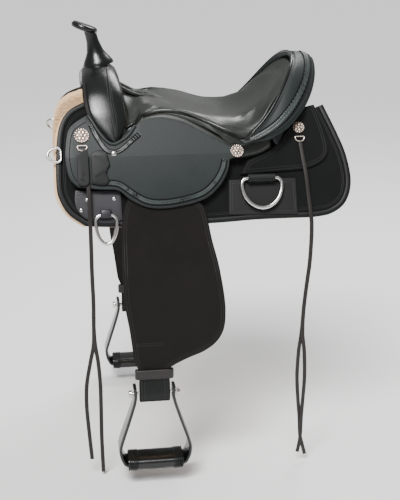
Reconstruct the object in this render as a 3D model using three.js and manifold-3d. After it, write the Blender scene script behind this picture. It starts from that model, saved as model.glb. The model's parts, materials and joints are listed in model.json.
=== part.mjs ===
// A western saddle as an assembly: tree, leather covers, skirts, rigging, fenders and stirrups.
// Millimetres. +Z is up, the horn is at -X, the saddle's left side is at -Y.
// The origin is on the centreline, on top of the horse's back under the lowest point of the seat.
import * as THREE from "three";
import { mergeVertices } from "three/addons/utils/BufferGeometryUtils.js";
import { TessellateModifier } from "three/addons/modifiers/TessellateModifier.js";
import Module from "manifold-3d";

const wasm = await Module();
wasm.setup();

// ---------- driving dimensions ----------
const GAP = 0.4; // between pieces that touch
const SKIRT = { bottom: -150, width: 236, lean: 0.36, curl: 0.0007, thick: 5 };
const DRAWN_WIDTH = 236; // the skirt width that the positions across the saddle below are given for
const SPREAD = SKIRT.width / DRAWN_WIDTH;
const FLEECE_THICK = 18;
const FLEECE_PROUD = 6; // how far the fleece shows past the skirt in front
const LEATHER = 4; // jockeys and covers
const COVER_GAP = 0.3; // between a cover and the wood or steel inside it
const JOCKEY_STANDOFF = 22; // room over the skirt for the tree and the fender
const JOCKEY_TUCK = 0.085; // how fast the jockey closes on the skirt below the seat
const FENDER = { thick: 5, out: 224.5, level: -100, lean: 0.46, bendTop: -172, bendLow: -232, length: 363 };
const DRAWN_LENGTH = 363; // the fender length that its outline is given for
const HINGE = { z: -108, gap: 0.6 }; // the fender's bend below the jockey
const HANGER = { x: -120, z: 6, eye: 14 };
const NECK = { x: -137, half: 33, length: 25, end: HINGE.z - FENDER.length };
const SEAT = { front: -158, rimX: 45, rimLength: 152, width: 180, thick: 14, rimThick: 20 };
const SEAT_SIDE_THICK = 9;
const BOARD_THICK = { ground: 5, cantle: 12 };
const ROLL = { sweep: 1.53, reach: 254, sideX: 66, half: 206, top: 167, drop: 147, thick: 10, lift: 2 };
const HAND_HOLE = { front: -182, rear: -128, half: 30 };
const HORN = { baseX: -222, baseZ: 150, lean: -0.22, neck: 12, foot: 29, top: 243 };
const HORN_CAP = { x: -253, z: 246, radius: 29, thick: 13, tilt: 0.35 };
const HORN_CORE_RADIUS = 8;
const FORK_FOOT = 10; // the fork's feet are cut level here
const STIRRUP = { x: -138, bolt: NECK.end - 32, height: 170, depth: 58, earDepth: 34, band: 7 };
const TREAD = { width: 106, thick: 11, rise: 7.5 };
const BOLT = { radius: 4, clearance: 0.4, head: 7, length: 108 };
const LOOP = { width: 68, top: NECK.end - 1.5, bottom: NECK.end - 53, thick: 20, mouth: 6 };
const KEEPER = { width: 84, top: NECK.end + NECK.length - 1.5, height: 22, wall: 4 };
const WIRE = 8.5;
const RING = { x: -229, top: -116, width: 44, height: 60, wire: WIRE - 1 };
const DEE = { x: 102, top: -56, width: 94, height: 72 };
const DEE_TAB = { width: 58, height: 20, wall: 2.3 };
const BREAST_DEE = { x: -316, z: 1, width: 36, reach: 34, wire: 6 };
const PLATE = { standoff: 0.9, thick: 3 }; // rigging leathers on the skirt
const FRONT_CONCHO = { x: -272, z: 40, radius: 16, height: 6 };
const JOCKEY_CONCHO = { x: 52, z: 3, radius: 14, height: 5 };
const REAR_CONCHO = { x: 193, z: 40, radius: 13, height: 5 };
const FORK_SCREW = { x: -207, z: 6, radius: 6, height: 3 };
const ROPE_STRAP = { x: -272, z: -22, width: 24, height: 74, thick: 3, hole: 3.5, standoff: 6 };
const LATIGO_KEEPER = { x: -237, z: -34, width: 30, height: 44, thick: 4, slit: [22, 6] };
const STRING = { width: 8.5, thick: 2.2 };

// ---------- solids ----------
function weld(geometry) {
  const bare = geometry.index ? geometry.toNonIndexed() : geometry.clone();
  for (const name of Object.keys(bare.attributes)) {
    if (name !== "position") bare.deleteAttribute(name);
  }
  const merged = mergeVertices(bare, 1e-3);
  const kept = [];
  const index = merged.index.array;
  for (let i = 0; i < index.length; i += 3) {
    const [a, b, c] = [index[i], index[i + 1], index[i + 2]];
    if (a !== b && b !== c && c !== a) kept.push(a, b, c);
  }
  merged.setIndex(kept);
  return merged;
}

function solid(geometry) {
  const g = weld(geometry);
  return new wasm.Manifold(new wasm.Mesh({
    numProp: 3,
    vertProperties: g.attributes.position.array,
    triVerts: new Uint32Array(g.index.array),
  }));
}

function surfaceOf(body) {
  const mesh = body.getMesh();
  const g = new THREE.BufferGeometry();
  g.setAttribute("position", new THREE.BufferAttribute(new Float32Array(mesh.vertProperties), 3));
  g.setIndex(Array.from(mesh.triVerts));
  return g;
}

const cut = (body, ...tools) =>
  surfaceOf(tools.reduce((left, tool) => left.subtract(solid(tool)), solid(body)));

// Moves every vertex to place(x, y, z).
function warp(geometry, place) {
  const position = geometry.attributes.position;
  for (let i = 0; i < position.count; i += 1) {
    const moved = place(position.getX(i), position.getY(i), position.getZ(i));
    position.setXYZ(i, ...moved);
  }
  return geometry;
}

// The same piece on the other side of the saddle.
function mirrored(geometry) {
  const g = weld(geometry);
  warp(g, (x, y, z) => [x, -y, z]);
  const index = g.index.array;
  for (let i = 0; i < index.length; i += 3) {
    [index[i + 1], index[i + 2]] = [index[i + 2], index[i + 1]];
  }
  return g;
}

const mix = (a, b, t) => a + (b - a) * t;
const vec = (x, y, z) => new THREE.Vector3(x, y, z);
const clamp = (value, low, high) => Math.min(high, Math.max(low, value));

// A height or width that passes smoothly through [position, value] stations.
function through(stations) {
  const curve = new THREE.SplineCurve(stations.map(([a, b]) => new THREE.Vector2(a, b)));
  const samples = curve.getPoints(stations.length * 16);
  return (at) => {
    if (at <= samples[0].x) return samples[0].y;
    for (let i = 1; i < samples.length; i += 1) {
      const [p, q] = [samples[i - 1], samples[i]];
      if (at <= q.x) return mix(p.y, q.y, (at - p.x) / Math.max(q.x - p.x, 1e-6));
    }
    return samples[samples.length - 1].y;
  };
}

// A closed outline of smooth runs, with a corner where one run meets the next.
function outline(...runs) {
  const points = [];
  for (const run of runs) {
    const curve = new THREE.SplineCurve(run.map(([x, z]) => new THREE.Vector2(x, z)));
    points.push(...curve.getPoints(run.length > 2 ? (run.length - 1) * 2 : 1));
  }
  const clean = points.filter((p, i) => p.distanceTo(points[(i + 1) % points.length]) > 0.5);
  return new THREE.Shape(THREE.ShapeUtils.isClockWise(clean) ? clean.reverse() : clean);
}

// ---------- the saddle's side surfaces: half width against height ----------
function skirtSide(z) {
  const rise = z - SKIRT.bottom;
  return SPREAD * (DRAWN_WIDTH - SKIRT.lean * rise - SKIRT.curl * rise * rise);
}
const jockeySide = (z) => skirtSide(z) + SPREAD * (JOCKEY_STANDOFF + JOCKEY_TUCK * Math.min(0, z));
function fenderSide(z) {
  const { out, level, lean, bendTop, bendLow } = FENDER;
  const straight = (at) => out + lean * (level - at);
  if (z >= bendTop) return SPREAD * straight(z);
  const run = Math.min(bendTop - z, bendTop - bendLow);
  return SPREAD * (straight(bendTop) + lean * run - (lean * run * run) / (2 * (bendTop - bendLow)));
}

// Point at (x, z) on a side surface, lifted off it by height, on the left side.
function onSide(side, x, z, height) {
  const slope = side(z + 0.5) - side(z - 0.5);
  const scale = height / Math.hypot(1, slope);
  return vec(x, -(side(z) + scale), z - slope * scale);
}

// A sheet cut to an outline and laid on a side surface, lifted by standoff.
function panel(shape, side, standoff, thick, edge = 72) {
  const flat = new THREE.ExtrudeGeometry(shape, { depth: thick, bevelEnabled: false });
  const fine = new TessellateModifier(edge, 14).modify(flat);
  return weld(warp(fine, (x, z, w) => onSide(side, x, z, standoff + w).toArray()));
}

// A small piece made in its own frame (+Z outwards), put on a side surface.
function seatedOn(geometry, side, x, z, standoff) {
  const at = onSide(side, x, z, standoff);
  const out = onSide(side, x, z, standoff + 1).sub(at).normalize();
  const along = vec(1, 0, 0);
  const up = out.clone().cross(along);
  const frame = new THREE.Matrix4().makeBasis(along, up, out).setPosition(at);
  return geometry.applyMatrix4(frame);
}

// A body along a path: at(t) gives the middle, two half axes and grows with t from 0 to 1.
function swept(at, around = 16, steps = 24) {
  const geometry = new THREE.CylinderGeometry(1, 1, 1, around, steps);
  return weld(warp(geometry, (x, y, z) => {
    const { middle, a, b } = at(y + 0.5);
    return middle.clone().addScaledVector(a, x).addScaledVector(b, z).toArray();
  }));
}

// Round wire bent to a closed path in the XY plane.
function wireLoop(path, wire, around = 8, steps = 30) {
  const torus = new THREE.TorusGeometry(100, wire / 2, around, steps);
  return weld(warp(torus, (x, y, z) => {
    const share = (Math.atan2(y, x) / (2 * Math.PI) + 1) % 1;
    const off = Math.hypot(x, y) - 100;
    const at = path.getPointAt(share);
    const along = path.getTangentAt(share);
    return [at.x + off * along.y, at.y - off * along.x, z];
  }));
}

// Dee: a straight bar along the top, whose middle is the origin, and a round loop below.
function deePath(width, height, corner) {
  const half = width / 2;
  const path = new THREE.Path();
  path.moveTo(half, -corner);
  path.absarc(half - corner, -corner, corner, 0, Math.PI / 2);
  path.lineTo(corner - half, 0);
  path.absarc(corner - half, -corner, corner, Math.PI / 2, Math.PI);
  path.absellipse(0, -corner, half, height - corner, Math.PI, 2 * Math.PI);
  return path;
}

function roundedBlock(width, height, depth, radius) {
  const [w, h] = [width / 2 - radius, height / 2 - radius];
  const shape = new THREE.Shape();
  shape.absarc(w, h, radius, 0, Math.PI / 2);
  shape.absarc(-w, h, radius, Math.PI / 2, Math.PI);
  shape.absarc(-w, -h, radius, Math.PI, 1.5 * Math.PI);
  shape.absarc(w, -h, radius, 1.5 * Math.PI, 2 * Math.PI);
  return new THREE.ExtrudeGeometry(shape, { depth, bevelEnabled: false, curveSegments: 3 });
}

const turned = (profile, segments) =>
  new THREE.LatheGeometry(profile.map(([r, h]) => new THREE.Vector2(r, h)), segments);

// ---------- materials and nodes ----------
const finish = (color, roughness, metalness = 0) => () =>
  new THREE.MeshStandardMaterial({ color, roughness, metalness });
const SMOOTH = finish(0x3a4341, 0.38);
const TOOLED = finish(0x2c3433, 0.5);
const CORDURA = finish(0x1d1f1f, 0.9);
const SHEEPSKIN = finish(0xecd0aa, 0.95);
const WOOD = finish(0xb08a5c, 0.7);
const STEEL = finish(0xc9c8c4, 0.25, 1);
const SILVER = finish(0xb9a794, 0.35, 1);
const LACE = finish(0x221d1a, 0.6);

const saddle = new THREE.Group();
function add(name, geometry, material) {
  const mesh = new THREE.Mesh(geometry, material());
  mesh.name = name;
  saddle.add(mesh);
}
function addPair(name, geometry, material) {
  add(`${name}_left`, geometry, material);
  add(`${name}_right`, mirrored(geometry), material);
}

// ---------- seat ----------
const seatCentre = through([
  [-200, 132], [-158, 108], [-90, 82], [-30, 66], [20, 58], [55, 57], [90, 65], [125, 85], [160, 118], [197, 180],
]);
const seatEdge = through([[-158, 62], [-146, 76], [-106, 86], [-66, 80], [-25, 62], [26, 34], [45, 22]]);
const seatHalf = through([[-158, 150], [-106, 146], [-25, 163], [26, 176], [45, 180]]);

// Point of the seat's top face: u from front to rear, v from -1 on the left to 1 on the right.
function seatTop(u, v) {
  const { front, rimX, rimLength, width } = SEAT;
  const across = Math.abs(v);
  const rim = rimX + rimLength * Math.sqrt(1 - across * across);
  const x = mix(front, rim, u);
  const edgeX = mix(front, rimX, u);
  const half = mix(seatHalf(edgeX), width, u ** 4);
  const corner = seatEdge(edgeX);
  const centre = seatCentre(mix(front, rimX + rimLength, u));
  return vec(x, v * half * SPREAD, mix(centre, corner, across ** mix(2, 2.7, u ** 3)));
}

// A layer that follows the seat, below its top face by drop, between two stations and widths.
function seatLayer(u0, u1, reach, drop, thick, cells) {
  const block = new THREE.BoxGeometry(1, 1, 1, cells, cells, 1);
  return weld(warp(block, (x, y, z) => {
    const u = mix(u0, u1, x + 0.5);
    const v = Math.sin(y * Math.PI) * reach;
    const top = seatTop(u, v);
    const depth = drop(u) + (z < 0 ? thick(u, v) : 0);
    return [top.x, top.y, top.z - depth];
  }));
}

const seatThick = (u, v) => mix(SEAT.thick + SEAT.rimThick * u ** 4, SEAT_SIDE_THICK, v ** 4);
function handHole() {
  const { front, rear, half } = HAND_HOLE;
  const shape = new THREE.Shape();
  shape.moveTo(front, -half);
  shape.lineTo(rear - half, -half);
  shape.absarc(rear - half, 0, half, -Math.PI / 2, Math.PI / 2);
  shape.lineTo(front, half);
  return new THREE.ExtrudeGeometry(shape, { depth: 200, bevelEnabled: false, curveSegments: 10 });
}

function addSeat() {
  const leather = seatLayer(0, 1, 1, () => 0, seatThick, 15);
  add("seat_leather", cut(leather, handHole()), SMOOTH);
  const under = (u) => seatThick(u, 0) + 1.2 + 6 * u ** 3;
  const board = seatLayer(0.06, 0.62, 0.55, under, () => BOARD_THICK.ground, 7);
  add("ground_seat", cut(board, handHole()), WOOD);
  add("tree_cantle", seatLayer(0.66, 0.97, 0.8, under, () => BOARD_THICK.cantle, 8), WOOD);
}

// ---------- cantle roll ----------
const rollInner = (angle) => seatTop(1, Math.sin(angle));
function rollOuter(angle) {
  const across = Math.sin(angle);
  const x = mix(ROLL.sideX, ROLL.reach, Math.cos(angle));
  return vec(x, across * ROLL.half * SPREAD, ROLL.top - ROLL.drop * Math.abs(across) ** 1.35);
}
function addCantleRoll() {
  const body = swept((t) => {
    const angle = mix(-ROLL.sweep, ROLL.sweep, t);
    const inner = rollInner(angle);
    const across = rollOuter(angle).sub(inner);
    const along = rollOuter(angle + 0.02).sub(rollOuter(angle - 0.02));
    const half = across.length() / 2;
    across.normalize();
    const out = across.clone().cross(along).normalize();
    if (out.z < 0) out.negate();
    const middle = inner.clone().addScaledVector(across, half + 1).addScaledVector(out, ROLL.lift);
    const end = clamp(Math.min(t, 1 - t) * 12, 0.35, 1);
    const a = across.multiplyScalar((half - 1.5) * end);
    return { middle, a, b: out.multiplyScalar(ROLL.thick * end) };
  }, 10, 24);
  add("cantle_binding", body, TOOLED);
}

// ---------- fork, horn ----------
const archLine = (points) => new THREE.SplineCurve(points.map(([y, z]) => new THREE.Vector2(y, z)));
const forkOuter = archLine([[0, 172], [62, 160], [112, 130], [143, 94], [162, 60], [176, 30]]);
const forkInner = archLine([[0, 122], [52, 118], [98, 106], [122, 84], [141, 60], [157, 32]]);
const forkMiddleX = through([[0, -225], [0.5, -222], [0.8, -212], [1, -204]]);
const forkHalfX = through([[0, 39], [0.5, 42], [0.75, 37], [0.9, 22], [1, 8]]);

// The swell: an arch from one foot to the other, grown by swell on every side.
function forkArch(swell, shift) {
  return swept((t) => {
    const side = t < 0.5 ? -1 : 1;
    const s = Math.abs(2 * t - 1);
    const outer = forkOuter.getPoint(s);
    const inner = forkInner.getPoint(s);
    const normal = outer.clone().sub(inner);
    const thick = normal.length() / 2 + swell;
    normal.normalize();
    const centre = outer.clone().add(inner).multiplyScalar(0.5).addScaledVector(normal, -shift);
    const a = vec(forkHalfX(s) + swell, 0, 0);
    const b = vec(0, side * normal.x, normal.y).multiplyScalar(thick);
    return { middle: vec(forkMiddleX(s), side * centre.x * SPREAD, centre.y), a, b };
  }, 14, 20);
}

function hornTransform() {
  const tilt = Math.atan(HORN.lean);
  return new THREE.Matrix4().makeRotationY(tilt).setPosition(HORN.baseX, 0, HORN.baseZ);
}
function hornPart(profile, segments) {
  const upright = turned(profile, segments).rotateX(Math.PI / 2);
  return weld(upright.applyMatrix4(hornTransform()));
}

// The cap on the horn, grown on every side.
function hornCap(grow) {
  const { thick, tilt, x, z } = HORN_CAP;
  const radius = HORN_CAP.radius + grow;
  const half = thick / 2 + grow;
  const profile = [
    [0, -half], [radius - 6, -half], [radius - 1, -half * 0.5], [radius, 0],
    [radius - 1, half * 0.6], [radius - 4, half], [0, half],
  ];
  return weld(turned(profile, 22).rotateX(Math.PI / 2).rotateY(tilt).translate(x, 0, z));
}

function addHorn() {
  const { neck, foot } = HORN;
  const height = HORN.top - HORN.baseZ;
  const wall = HORN_CORE_RADIUS + COVER_GAP;
  const capRoom = hornCap(GAP);
  const rod = hornPart([[0, -8], [HORN_CORE_RADIUS, -8], [HORN_CORE_RADIUS, height], [0, height]], 16);
  const wrap = hornPart([
    [wall, 12], [foot, 12], [foot - 2, 26], [foot - 9, 38], [neck + 4, 52], [neck + 1, 64],
    [neck, height], [wall, height], [wall, 12],
  ], 18);
  add("horn_core", cut(rod, capRoom), STEEL);
  add("horn_wrap", cut(wrap, forkArch(GAP, 0), capRoom), SMOOTH);
  add("horn_cap", hornCap(0), SMOOTH);
}

function addFork() {
  const wall = HORN_CORE_RADIUS + COVER_GAP;
  const core = forkArch(-LEATHER - COVER_GAP, LEATHER - 1);
  const room = forkArch(-LEATHER, LEATHER - 1);
  const bore = hornPart([[0, -20], [wall, -20], [wall, 90], [0, 90]], 16);
  const below = new THREE.BoxGeometry(200, 500, 200).translate(HORN.baseX, 0, FORK_FOOT - 72);
  add("fork_cover", cut(forkArch(0, 0), room, bore, below), SMOOTH);
  add("tree_fork", cut(core, bore, below), WOOD);
}

// ---------- tree bars ----------
function addBars() {
  const path = new THREE.CatmullRomCurve3([
    [-232, 98, 70], [-150, 106, 36], [0, 104, 16], [60, 98, 12], [140, 92, 34], [205, 80, 80],
  ].map(([x, y, z]) => vec(x, -y * SPREAD, z)));
  const body = swept((t) => {
    const round = clamp(Math.min(t, 1 - t) * 14, 0.4, 1);
    const a = vec(0, -0.87, -0.5).multiplyScalar(20 * round);
    const b = a.clone().cross(path.getTangent(t)).normalize().multiplyScalar(7.5);
    return { middle: path.getPoint(t), a, b };
  }, 8, 14);
  addPair("tree_bar", body, WOOD);
}

// ---------- skirts, fleece, jockeys ----------
const skirtFront = [
  [-254, 104], [-293, 87], [-315, 59], [-324, 12], [-327, -54], [-321, -84], [-303, -112], [-271, -134],
];
const skirtHem = [[-271, -134], [-196, -138], [-13, -138], [96, -134], [211, -134]];
const skirtRear = [[211, -134], [251, -128], [283, -107], [298, -68], [293, -17], [278, 27], [253, 85]];
const skirtTop = [
  [253, 85], [222, 74], [180, 46], [130, 20], [60, 8], [-100, 8], [-180, 20], [-222, 52], [-254, 104],
];

function addSkirts() {
  const edge = outline(skirtFront, skirtHem, skirtRear, skirtTop);
  addPair("skirt", panel(edge, skirtSide, -SKIRT.thick, SKIRT.thick), CORDURA);
  const proud = (points) => points.map(([x, z]) => [x - FLEECE_PROUD, z]);
  const pad = outline(proud(skirtFront), proud(skirtHem), proud(skirtRear), proud(skirtTop));
  const standoff = -SKIRT.thick - GAP - FLEECE_THICK;
  addPair("fleece", panel(pad, skirtSide, standoff, FLEECE_THICK), SHEEPSKIN);
}

function addJockeys() {
  const shape = outline(
    [[-259, 79], [-296, 56], [-307, 17], [-307, -11], [-300, -40], [-284, -56]],
    [[-284, -56], [-239, -62], [-202, -65], [-178, -83], [-148, -98], [-117, -103], [-75, -100], [-21, -87],
      [12, -62], [30, -35], [36, -12]],
    [[36, -12], [50, -8], [64, -6], [68, 2], [62, 8], [52, 9]],
    [[52, 9], [29, 18], [-22, 46], [-60, 64]],
    [[-60, 64], [-105, 72], [-145, 66], [-162, 52]],
    [[-162, 52], [-176, 36], [-190, 27], [-206, 21], [-220, 27], [-236, 45], [-248, 64], [-259, 79]],
  );
  const body = panel(shape, jockeySide, 0, LEATHER, 60);
  const room = forkArch(1.2, 0);
  addPair("seat_jockey", cut(body, room), TOOLED);
  const rear = outline(
    [[233, 84], [249, 30], [253, -5], [241, -24], [217, -35], [191, -41]],
    [[191, -41], [58, -47]],
    [[58, -47], [76, -20]],
    [[76, -20], [130, 2], [176, 44], [205, 76], [233, 84]],
  );
  addPair("rear_jockey", panel(rear, skirtSide, 1.2, LEATHER, 60), TOOLED);
}

// ---------- rigging ----------
function addRigging() {
  const corners = (...points) =>
    outline(...points.map((point, i) => [point, points[(i + 1) % points.length]]));
  const { standoff, thick } = PLATE;
  const front = corners([-291, -66], [-196, -69], [-196, -112], [-292, -110]);
  addPair("front_rigging_plate", panel(front, skirtSide, standoff, thick, 60), SMOOTH);
  const rear = corners([33, -56], [178, -56], [178, -128], [29, -124]);
  addPair("rear_rigging_plate", panel(rear, skirtSide, standoff, thick, 60), SMOOTH);
  const face = standoff + thick + GAP;
  const ring = wireLoop(deePath(RING.width, RING.height, 12), RING.wire);
  const ringHeight = face + 1.2 + RING.wire / 2;
  addPair("front_rigging_ring", seatedOn(ring, skirtSide, RING.x, RING.top, ringHeight), STEEL);
  const barHeight = face + DEE_TAB.wall + WIRE / 2 + 0.8;
  const dee = wireLoop(deePath(DEE.width - WIRE, DEE.height - WIRE, 12), WIRE);
  addPair("rear_rigging_dee", seatedOn(dee, skirtSide, DEE.x, DEE.top, barHeight), STEEL);
  const tabDepth = 2 * (barHeight - face);
  const tab = roundedBlock(DEE_TAB.width, DEE_TAB.height, tabDepth, 3).translate(0, 0, -tabDepth / 2);
  const barRoom = new THREE.CylinderGeometry(WIRE / 2 + 0.8, WIRE / 2 + 0.8, 120, 12).rotateZ(Math.PI / 2);
  addPair("rear_dee_tab", seatedOn(cut(tab, barRoom), skirtSide, DEE.x, DEE.top, barHeight), SMOOTH);
  const { wire, width, reach, x, z } = BREAST_DEE;
  const breast = wireLoop(deePath(width - wire, reach - wire, 7), wire).rotateZ(-Math.PI / 2);
  addPair("breast_collar_dee", seatedOn(breast, skirtSide, x, z, wire / 2 + 1.6), STEEL);
}

// ---------- fenders and stirrup leathers ----------
// Height on the fender for a height in its outline; the neck below keeps its own length.
const drop = (FENDER.length - NECK.length) / (DRAWN_LENGTH - NECK.length);
const dropped = (z) => HINGE.z + (z - HINGE.z) * drop;

function addFenders() {
  const { x, z, eye } = HANGER;
  const top = HINGE.z + HINGE.gap;
  const arc = Array.from({ length: 7 }, (_, i) => {
    const at = Math.PI - (i * Math.PI) / 6;
    return [x + eye * Math.cos(at), z + eye * Math.sin(at)];
  });
  const hanger = outline(
    [[-190, top], [-184, -86], [-160, -40], arc[0]],
    arc,
    [arc[6], [-80, -40], [-44, -84], [-30, top]],
    [[-30, top], [-190, top]],
  );
  const half = FENDER.thick / 2;
  addPair("fender_hanger", panel(hanger, fenderSide, -half, FENDER.thick, 60), SMOOTH);
  const [left, right] = [NECK.x - NECK.half, NECK.x + NECK.half];
  const edge = HINGE.z - HINGE.gap;
  const front = [[-193, edge], [-199, -162], [-198, -285], [-188, -357], [-180, -421], [-174, -441]];
  const rear = [
    [right, -448], [-88, -437], [-62, -425], [-28, -411], [-2, -391], [13, -364], [17, -328],
    [14, -287], [3, -223], [-10, -169], [-22, edge],
  ];
  const hung = (points) => points.map(([px, pz]) => [px, dropped(pz)]);
  const shape = outline(
    hung(front),
    [...hung([[-174, -441], [left, -446]]), [left, NECK.end]],
    [[left, NECK.end], [right, NECK.end]],
    [[right, NECK.end], ...hung(rear)],
    [[-22, edge], [-193, edge]],
  );
  addPair("fender", panel(shape, fenderSide, -half, FENDER.thick, 62), CORDURA);
}

const stirrupY = -fenderSide(NECK.end);

function addLeathers() {
  const inside = FENDER.thick + 1.2;
  const { width, wall, top, height } = KEEPER;
  const outer = roundedBlock(width, inside + 2 * wall + 0.8, height, 5);
  const hole = roundedBlock(width - 2 * wall, inside, height + 20, 2).translate(0, 0, -10);
  addPair("keeper_strap", cut(outer, hole).translate(NECK.x, stirrupY, top - height), SMOOTH);
  const { mouth, bottom } = LOOP;
  const half = LOOP.thick / 2;
  const centre = STIRRUP.bolt;
  const profile = new THREE.Shape();
  profile.moveTo(-mouth, LOOP.top);
  profile.quadraticCurveTo(-half, centre + 12, -half, centre);
  profile.quadraticCurveTo(-half, bottom, 0, bottom);
  profile.quadraticCurveTo(half, bottom, half, centre);
  profile.quadraticCurveTo(half, centre + 12, mouth, LOOP.top);
  const eye = new THREE.Path();
  eye.absarc(0, centre, BOLT.radius + BOLT.clearance, 0, 2 * Math.PI, true);
  profile.holes.push(eye);
  const settings = { depth: LOOP.width, bevelEnabled: false, curveSegments: 8 };
  const bar = new THREE.ExtrudeGeometry(profile, settings);
  // Drawn in (across, height) and run along X.
  const loop = warp(bar, (y, z, x) => [x, y, z]).translate(NECK.x - LOOP.width / 2, stirrupY, 0);
  addPair("stirrup_leather", loop, SMOOTH);
}

// ---------- stirrups ----------
function stirrupFrame() {
  const { x, bolt, height, depth, earDepth, band } = STIRRUP;
  const bottom = bolt - height;
  const outer = [
    [46, 16], [46, -10], [60, -57], [78, -112], [80, -131], [74, -152], [60, -165], [0, -height],
  ];
  const inner = [
    [38, 16], [38, -12], [52, -59], [70, -113], [72, -131], [67, -147], [56, -156], [0, band - height],
  ];
  const at = (points, sign) => points.map(([dx, dz]) => [x + sign * dx, bolt + dz]);
  const shape = outline(
    at(outer, 1),
    at(outer, -1).reverse(),
    [at(outer, -1)[0], at(inner, -1)[0]],
    at(inner, -1),
    at(inner, 1).reverse(),
    [at(inner, 1)[0], at(outer, 1)[0]],
  );
  const flat = new THREE.ExtrudeGeometry(shape, { depth: 1, bevelEnabled: false });
  return warp(new TessellateModifier(40, 10).modify(flat), (px, pz, w) => {
    const wide = mix(depth, earDepth, clamp((pz - bottom) / height, 0, 1));
    return [px, stirrupY + (0.5 - w) * wide, pz];
  });
}

function addStirrups() {
  const { x, bolt, height, depth, band } = STIRRUP;
  const boreRadius = BOLT.radius + BOLT.clearance;
  const bore = new THREE.CylinderGeometry(boreRadius, boreRadius, 200, 16).rotateZ(Math.PI / 2);
  addPair("stirrup_frame", cut(stirrupFrame(), bore.translate(x, stirrupY, bolt)), STEEL);
  const tread = roundedBlock(TREAD.width, depth - 2, TREAD.thick, 8);
  tread.translate(x, stirrupY, bolt - height + band + TREAD.rise);
  addPair("stirrup_tread", tread, SMOOTH);
  const { radius, head, length } = BOLT;
  const [end, shank] = [length / 2, length / 2 - 7];
  const pin = turned([
    [0, -end], [head, -end], [head, -shank], [radius, -shank], [radius, shank], [head, shank],
    [head, end], [0, end],
  ], 16);
  addPair("stirrup_bolt", pin.rotateZ(Math.PI / 2).translate(x, stirrupY, bolt), STEEL);
}

// ---------- conchos, screws, straps ----------
function concho({ radius, height }) {
  const profile = [[0, 0], [radius, 0], [radius, height * 0.35], [radius * 0.7, height * 0.75], [0, height]];
  return weld(turned(profile, 14).rotateX(Math.PI / 2));
}
function addTrim() {
  const face = LEATHER + GAP;
  const onJockey = (piece, { x, z }, standoff = face) => seatedOn(piece, jockeySide, x, z, standoff);
  addPair("front_concho", onJockey(concho(FRONT_CONCHO), FRONT_CONCHO), SILVER);
  addPair("jockey_concho", onJockey(concho(JOCKEY_CONCHO), JOCKEY_CONCHO), SILVER);
  const { x, z } = REAR_CONCHO;
  addPair("rear_concho", seatedOn(concho(REAR_CONCHO), skirtSide, x, z, 1.2 + face), SILVER);
  addPair("fork_screw", onJockey(concho(FORK_SCREW), FORK_SCREW), STEEL);
  const { width, height, thick, hole, standoff } = ROPE_STRAP;
  const punched = new THREE.CylinderGeometry(hole, hole, 20, 16).rotateX(Math.PI / 2).translate(0, -12, 0);
  const strap = cut(roundedBlock(width, height, thick, 11), punched);
  add("rope_strap", onJockey(strap, ROPE_STRAP, face + standoff), TOOLED);
  const body = roundedBlock(LATIGO_KEEPER.width, LATIGO_KEEPER.height, LATIGO_KEEPER.thick, 10);
  const slit = roundedBlock(...LATIGO_KEEPER.slit, 20, 2).translate(0, 8, -5);
  add("latigo_keeper", onJockey(cut(body, slit), LATIGO_KEEPER), TOOLED);
}

// ---------- saddle strings: flat laces hanging on the left side ----------
// The route moves out as far as the side surface that the lace lies on does at another skirt width.
function lace(points, side) {
  const moved = (z) => side(Math.max(z, SKIRT.bottom)) * (1 - 1 / SPREAD);
  const path = new THREE.CatmullRomCurve3(points.map(([x, y, z]) => vec(x, y - moved(z), z)));
  const section = new THREE.Shape();
  section.absellipse(0, 0, STRING.width / 2, STRING.thick / 2, 0, 2 * Math.PI);
  const steps = Math.round(path.getLength() / (2.5 * STRING.width));
  const settings = { depth: 1, steps, curveSegments: 4, bevelEnabled: false };
  const strip = new THREE.ExtrudeGeometry(section, settings);
  return weld(warp(strip, (across, out, t) => {
    const normal = path.getTangentAt(clamp(t, 0, 1)).cross(vec(1, 0, 0)).normalize();
    return path.getPointAt(clamp(t, 0, 1)).add(vec(across, 0, 0)).addScaledVector(normal, out).toArray();
  }));
}

const FRONT_STRING_A = [
  [-267, -185.2, 16.8], [-265.5, -198, -7.2], [-264, -211.6, -37.2], [-263, -219.8, -57],
  [-262.5, -228, -85], [-262, -234.5, -115], [-262, -237.5, -140], [-262, -238, -180],
  [-262, -238, -240], [-261, -238, -300], [-262, -238, -360], [-264, -238, -400],
  [-272, -238, -440], [-281, -238, -490], [-283, -238, -540], [-280, -238, -600],
  [-275, -238, -672],
];
const FRONT_STRING_B = [
  [-267, -187.4, 18.2], [-265.5, -200.2, -5.9], [-264, -213.9, -36], [-263, -222.3, -56.2],
  [-262.5, -230.8, -85], [-262, -237.2, -115], [-262, -240.2, -140], [-262, -240.7, -180],
  [-262, -240.7, -240], [-261, -240.7, -300], [-262, -240.7, -360], [-260, -240.7, -400],
  [-255, -240.7, -440], [-252, -240.7, -490], [-252, -240.7, -540], [-252.5, -240.7, -620],
  [-251, -240.7, -704],
];
const REAR_STRING_A = [
  [193, -165.1, 15.5], [196, -183.3, -16.5], [199.5, -198.8, -46.8], [202, -215, -85],
  [205, -233, -128], [206.5, -236.5, -145], [207, -237, -180], [205, -237, -234],
  [200, -237, -283], [195, -237, -340], [192, -237, -395], [187, -237, -440],
  [185, -237, -500], [189, -237, -560], [193, -237, -600], [196, -237, -647],
  [202, -237, -672], [208, -237, -696],
];
const REAR_STRING_B = [
  [193, -167.2, 16.8], [196, -185.5, -15.1], [199.5, -201.2, -45.4], [202, -217.7, -84],
  [205, -235.7, -128], [206.5, -239.2, -145], [207, -239.7, -180], [205, -239.7, -234],
  [200, -239.7, -283], [195, -239.7, -340], [194, -239.7, -395], [199, -239.7, -440],
  [201.5, -239.7, -500], [199, -239.7, -560], [197, -239.7, -600], [196, -239.7, -647],
  [193.5, -239.7, -668], [190, -239.7, -688],
];

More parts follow.
